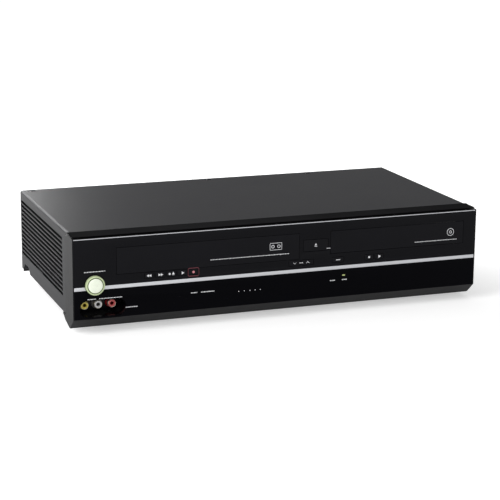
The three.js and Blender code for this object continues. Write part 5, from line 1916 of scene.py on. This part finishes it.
    def media(self) -> None:
        """Prints a plain cassette sign on the flap and a plain disc sign on the tray's front."""
        x, z = -7.5 * MM, 75 * MM
        frame_loops = [
            rounded_loop(x, z, 13 * MM, 7.4 * MM, 0.8 * MM),
            rounded_loop(x, z, 12.2 * MM, 6.6 * MM, 0.5 * MM),
        ]
        hubs = [self.band(x + side * 3.2 * MM, z, 1.7 * MM, 1.2 * MM) for side in (-1, 1)]
        line = self.dashes(-35 * MM, 66.5 * MM, 84 * MM, 0.7 * MM)
        self.put("cassette_sign", [frame_loops, *hubs, *line], "flap")
        x, z = 188 * MM, 75.5 * MM
        rings = [self.band(x, z, 4.0 * MM, 3.5 * MM), self.band(x, z, 1.5 * MM, 1.0 * MM)]
        line = self.dashes(171.5 * MM, 67.5 * MM, 49 * MM, 0.7 * MM)
        self.put("disc_sign", [*rings, *line], "tray")

    def build(self) -> None:
        """Prints everything."""
        self.keys()
        self.panel()
        self.media()


@dataclass
class Rear:
    """The rear panel and its connectors.

    Attributes:
        outer: The panel's outer face.
        columns: The sockets' places across.
        rows: Their heights.
        shell: A socket's outer radius.
        bore: The radius of its deep bore.
        block: The socket block's middle across and up, its width, height and corner.
    """

    outer: float = 116.0 * MM
    columns: tuple[float, ...] = (-110 * MM, -94 * MM, -78 * MM, -62 * MM, -46 * MM, -30 * MM)
    rows: tuple[float, float] = (21.5 * MM, 38.5 * MM)
    shell: float = 4.15 * MM
    bore: float = 1.6 * MM
    block: tuple[float, ...] = (-70 * MM, 30.5 * MM, 96 * MM, 29 * MM, 1.5 * MM)

    def turned(self, profile: Loop) -> bpy.types.Mesh:
        """Returns a profile turned from a foot at the origin towards +Y."""
        return lathe_mesh(profile, (0, 0, 0), Axis.BACKWARD, FACETS_SMALL)

    def socket(self) -> bpy.types.Mesh:
        """Returns one socket's round metal shell.

        Returns:
            The mesh.
        """
        mouth = about(self.shell, 3 * MM, (-0.7, -0.2), (-0.5, 0), (-0.2, 0), (0, -0.2))
        foot = about(self.shell, -1 * MM, (0, 0), (-0.7, 0))
        return self.turned([foot[1], *mouth, *foot])

    def core(self) -> bpy.types.Mesh:
        """Returns the insulator inside a shell, with its deep bore.

        Returns:
            The mesh.
        """
        r, b, top = 3.46 * MM, self.bore, 2.6 * MM
        inside = [(0, top - 6 * MM), *about(b, top, (0, -6), (0, -0.3), (0.25, 0))]
        outside = [(r, top), (r, -0.9 * MM), (b + 0.6 * MM, -1 * MM)]
        end = [(b + 0.6 * MM, top - 6.6 * MM), (0, top - 6.6 * MM)]
        return self.turned([*inside, *outside, *end])

    def collar(self) -> bpy.types.Mesh:
        """Returns the coloured collar of one socket."""
        profile = in_mm((4.1, 0), (4.1, 0.9), (4.4, 1.1), (5.2, 1.0), (5.6, 0.7), (5.7, 0), (4.1, 0))
        return self.turned(profile)

    def build(self) -> None:
        """Makes the panel, the sockets, the aerial block and the gland."""
        soften("rear_panel", REAR, 0.2 * MM)
        every = [(x, self.outer, z) for x in self.columns for z in self.rows]
        barrels = repeated("rear_barrels", self.socket(), every, BRASS)
        add_piece("rear_barrels", barrels, BRASS, "housing")
        cores = repeated("rear_cores", self.core(), every, BLACK)
        add_piece("rear_cores", cores, BLACK, "housing")
        outline = rounded_loop(*self.block)
        body = plate_mesh([outline], self.outer - 1.3 * MM, 14 * MM, 0.4 * MM, Facing.REAR)
        add_piece("rear_socket_block", body, BLACK, "housing", "rear_jack_block")
        yellow, red = every[:4:2], every[1::4]
        white = [place for place in every if place not in yellow + red]
        for finish, group in ((COLLAR_YELLOW, yellow), (COLLAR_RED, red), (COLLAR_WHITE, white)):
            name = f"rear_{finish.name}"
            add_piece(name, repeated(name, self.collar(), group, finish), finish, "housing")
        soften("tuner_block", ZINC, 0.3 * MM)
        soften("cord_gland", RUBBER, 0.3 * MM)


@dataclass
class Feet:
    """Four round feet with a soft pad.

    Attributes:
        rows: Their rows.
        sides: Their sides.
        facets: The facets round.
    """

    rows: tuple[str, str] = ("front", "rear")
    sides: tuple[str, str] = ("left", "right")
    facets: int = 48

    def build(self) -> None:
        """Makes the feet."""
        for row in self.rows:
            for side in self.sides:
                node = f"foot_{row}_{side}"
                low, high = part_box(node)
                r, top = (high.x - low.x) / 2, high.z - low.z
                shoulder = about(r, top, (-0.6, 0), (-0.1, -0.3), (0, -0.8))
                pad = about(r, 0, (-0.2, 1.6), (-0.9, 1.2), (-1.4, 1.1), (-1.5, 0.4), (-1.9, 0))
                hollow = [(r * 0.5, 0), (r * 0.45, 0.3 * MM), (0, 0.3 * MM)]
                profile = [(0, top), *shoulder, *pad, *hollow]
                centre = ((low.x + high.x) / 2, (low.y + high.y) / 2, low.z)
                mesh = lathe_mesh(profile, centre, steps=self.facets)
                add_piece(f"{node}_pad", mesh, RUBBER, "housing", node)


@dataclass
class DiscSide:
    """The tray, the loader, the optical unit and the clamper.

    Attributes:
        x: The disc's centre across.
        y: Its depth.
        tray_half: Half the tray's width.
        tray_front: Where the tray starts.
        tray_length: Its length.
        levels: The heights of the tray's underside, inner well, outer well and top.
        wells: The radii of the two wells.
        slot_half: Half the width of the pickup's slot.
        teeth: The teeth of the tray's rack.
        motor_foot: The height of the turntable's foot.
    """

    x: float = 127.65 * MM
    y: float = -41.8 * MM
    tray_half: float = 67.5 * MM
    tray_front: float = -111.8 * MM
    tray_length: float = 148 * MM
    levels: tuple[float, float, float, float] = (68 * MM, 72 * MM, 73.6 * MM, 76 * MM)
    wells: tuple[float, float] = (41 * MM, 61 * MM)
    slot_half: float = 19 * MM
    teeth: int = 44
    motor_foot: float = 58.3 * MM

    def slot(self, radius: float) -> Loop:
        """Returns a tray layer's hole: a disc's well that runs into the pickup's slot.

        Args:
            radius: The well's radius.

        Returns:
            The outline.
        """
        half = self.slot_half
        back = self.tray_front + self.tray_length - 7 * MM
        ends = [(self.x + half, back), (self.x - half, back)]
        if radius <= half:
            return [*arc(self.x, self.y, half, math.pi, 2 * math.pi, 40), *ends]
        turn = math.acos(half / radius)
        if self.y + radius * math.sin(turn) >= back:
            return ring_loop(self.x, self.y, radius, 120)
        return [*arc(self.x, self.y, radius, math.pi - turn, 2 * math.pi + turn, 120), *ends]

    def rack(self, edge: float, foot: float) -> bpy.types.Mesh:
        """Returns the toothed rack under the tray.

        Args:
            edge: Its straight edge's place across.
            foot: Its lower face's height.

        Returns:
            The mesh.
        """
        front = self.tray_front
        pitch = (self.y + self.wells[1] - front) / self.teeth
        tip, root = edge - 3 * MM, edge - 2.2 * MM
        outline = [(edge, front), (edge, front + self.teeth * pitch)]
        for i in reversed(range(self.teeth)):
            start = front + i * pitch
            outline += [(tip, start + 0.7 * pitch), (tip, start + 0.4 * pitch), (root, start + 0.1 * pitch)]
        level = self.levels[0]
        return plate_mesh([outline], level + 0.2 * MM, level - foot, 0.05 * MM, Facing.TOP)

    def tray(self) -> bpy.types.Mesh:
        """Returns the tray, built up in layers about its wells.

        Returns:
            The mesh.
        """
        left, right = self.x - self.tray_half, self.x + self.tray_half
        back = self.tray_front + self.tray_length
        outline = box_loop(left, right, self.tray_front, back, 2 * MM)
        radii, edges = (0.0, *self.wells), (0.3 * MM, 0.3 * MM, 0.5 * MM)
        layers = []
        for low, high, radius, edge in zip(self.levels, self.levels[1:], radii, edges):
            layers.append(plate_mesh([outline, self.slot(radius)], high, high - low, edge, Facing.TOP))
        return merged([*layers, self.rack(right - 4.5 * MM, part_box("dvd_tray")[0].z)])

    def optics(self) -> None:
        """Makes the turntable, the pickup and the clamper."""
        rotor = in_mm(
            (0, 18.7), (1.6, 18.7), (2.4, 18.3), (6.4, 17.9), (7.0, 17.4), (7.2, 16.4), (7.5, 16.3), (8.5, 16.3),
            (8.6, 16.5), (14.2, 16.5), (14.4, 16.3), (15, 16.1), (15, 13.9), (14.6, 13.7), (12, 13.6), (12, 1.2),
            (11.5, 0.4), (0, 0.3),
        )
        mesh = lathe_mesh(rotor, (self.x, self.y, self.motor_foot), steps=FACETS_WIDE)
        add_piece("disc_motor", mesh, MOTOR, "turntable", "turntable")
        puck = in_mm(
            (0, 8.5), (4, 8.5), (4.4, 8.2), (15.9, 8.2), (16.5, 7.8), (16.5, 6.9), (16.2, 6.7), (12.2, 6.6),
            (12.2, 4.3), (14.2, 4.2), (14.4, 3.9), (14.4, 0.4), (14, 0), (8, 0), (7.6, 0.6), (0, 0.6),
        )
        mesh = lathe_mesh(puck, (self.x, self.y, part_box("disc_clamper")[0].z), steps=FACETS_WIDE)
        add_piece("clamp_puck", mesh, GREY, "clamper", "disc_clamper")
        soften("pickup_sled", GREY, 0.4 * MM)
        low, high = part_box("pickup_sled")
        dome = in_mm((0, 0.8), (1.2, 0.7), (2.2, 0.35), (2.8, 0.0), (3.0, -0.3), (0, -0.3))
        lens = lathe_mesh(dome, (self.x, (low.y + high.y) / 2, high.z), steps=FACETS)
        add_piece("pickup_lens", lens, LENS, "sled")

    def build(self) -> None:
        """Makes the disc side."""
        add_piece("disc_tray", self.tray(), BLACK, "tray", "dvd_tray")
        soften("tray_front", FLAP, 0.35 * MM, 3)
        soften("loader_frame", BLACK, 0.25 * MM)
        soften("clamp_bridge", ZINC, 0.2 * MM)
        soften("traverse_plate", ZINC, 0.2 * MM)
        soften("tray_gear", WHITE, 0.12 * MM, 1)
        soften("tray_motor", ZINC, 0.3 * MM)
        for side in ("left", "right"):
            soften(f"sled_guide_rod_{side}", BRIGHT, 0.2 * MM)
        self.optics()


@dataclass
class TapeSide:
    """The deck plate with the drum, reels, guides and carriage.

    Attributes:
        x: The drum's middle across.
        y: Its depth.
        z: The foot of the tilted drum.
        radius: Its radius.
        tilt: Its lean in degrees.
    """

    x: float = -77.8 * MM
    y: float = 62 * MM
    z: float = 43.5 * MM
    radius: float = 31 * MM
    tilt: float = 5.5

    def leaning(self, profile: Loop) -> bpy.types.Mesh:
        """Returns a turned mesh that leans as the drum does.

        Args:
            profile: The profile along the drum's axis.

        Returns:
            The mesh.
        """
        mesh = lathe_mesh(profile, (0, 0, 0), steps=96)
        lean = Matrix.Rotation(math.radians(self.tilt), 4, "X")
        mesh.transform(Matrix.Translation((self.x, self.y, self.z)) @ lean)
        return mesh

    def drum(self) -> None:
        """Makes both halves of the drum."""
        r = self.radius
        upper = [
            *in_mm((0, 23.3), (3, 23.3), (3.4, 22.9), (8.6, 22.9), (9, 22.5), (9, 20.5), (12, 20.3), (26, 20.3)),
            (26.3 * MM, 20 * MM), *about(r, 0, (-0.4, 20), (0, 19.6), (0, 13), (-0.3, 12.8), (-0.3, 12.4)),
            *about(r, 0, (0, 12.2), (0, 9.6), (-0.3, 9.3)), (0, 9.3 * MM),
        ]
        add_piece("drum_upper", self.leaning(upper), BRIGHT, "upper_drum", "upper_drum")
        lower = [
            (0, 9 * MM), *about(r, 0, (-0.3, 9), (0, 8.7), (0, 7), (-0.25, 6.8), (0, 6.6), (0, 4.6)),
            *about(r, 0, (-0.25, 4.4), (0, 4.2), (0, 0.3), (-0.3, 0)), *in_mm((12, 0), (12, -6.5), (0, -6.5)),
        ]
        add_piece("drum_lower", self.leaning(lower), BRIGHT, "housing", "lower_drum")

    def build(self) -> None:
        """Makes the tape side."""
        self.drum()
        soften("deck_plate", ZINC, 0.15 * MM)
        soften("cassette_carriage", ZINC, 0.15 * MM)
        soften("carriage_slider", WHITE, 0.3 * MM)
        for node in ("supply_reel", "take_up_reel"):
            soften(node, BLACK, 0.15 * MM, 1)
        soften("capstan_flywheel", BRIGHT, 0.3 * MM)
        soften("pinch_arm", ZINC, 0.15 * MM, 1)
        soften("pinch_roller", RUBBER, 0.3 * MM)
        for node in ("guide_arm_left", "guide_arm_right"):
            soften(node, BRIGHT, 0.12 * MM, 1)
        soften("cam_gear", WHITE, 0.15 * MM, 1)


@dataclass
class FlapUnit:
    """The hinged cassette flap.

    Attributes:
        rib_ends: Where the ribs behind it start and end.
        rib_rows: The ribs' lower edges.
        rib_height: A rib's height.
    """

    rib_ends: tuple[float, float] = (-165 * MM, 10 * MM)
    rib_rows: tuple[float, float] = (62 * MM, 78 * MM)
    rib_height: float = 1.2 * MM

    def build(self) -> None:
        """Makes the flap with its hinge."""
        soften("cassette_flap", FLAP, 0.35 * MM, 3)
        dress("cassette_flap_spring", BRIGHT)
        loops = [box_loop(*self.rib_ends, low, low + self.rib_height, 0.5 * MM) for low in self.rib_rows]
        ribs = [plate_mesh([loop], FACE + 2.5 * MM, 1.0 * MM, 0.3 * MM) for loop in loops]
        add_piece("flap_ribs", merged(ribs), FLAP, "flap")


@dataclass
class Boards:
    """The pan and the circuit boards.

    Attributes:
        pan: The rounding of the pan's edges.
        parts: The rounding of the parts on a board with large ones.
        fine: The rounding on the other boards.
    """

    pan: float = 0.2 * MM
    parts: float = 0.15 * MM
    fine: float = 0.1 * MM

    def build(self) -> None:
        """Gives the pan and the boards their finishes."""
        soften("chassis_base", CHASSIS, self.pan)
        soften("main_board", GREEN_BOARD, self.fine, 1)
        soften("power_supply_board", BROWN_BOARD, self.parts, 1)
        # The front key board takes the darker copy of the board paper, painted shade behind the panel.
        soften("front_key_board", SHADED_BOARD, self.fine, 1)


def main() -> None:
    """Builds the scene in order."""
    front = [Front(), *KEYS, PowerButton(), FrontSockets(), FlapUnit(), Marks()]
    for builder in [Studio(), Cover(), *front, Rear(), Feet(), DiscSide(), TapeSide(), Boards()]:
        builder.build()
        log.info("built %s", getattr(builder, "name", type(builder).__name__))


if __name__ == "__main__":
    main()
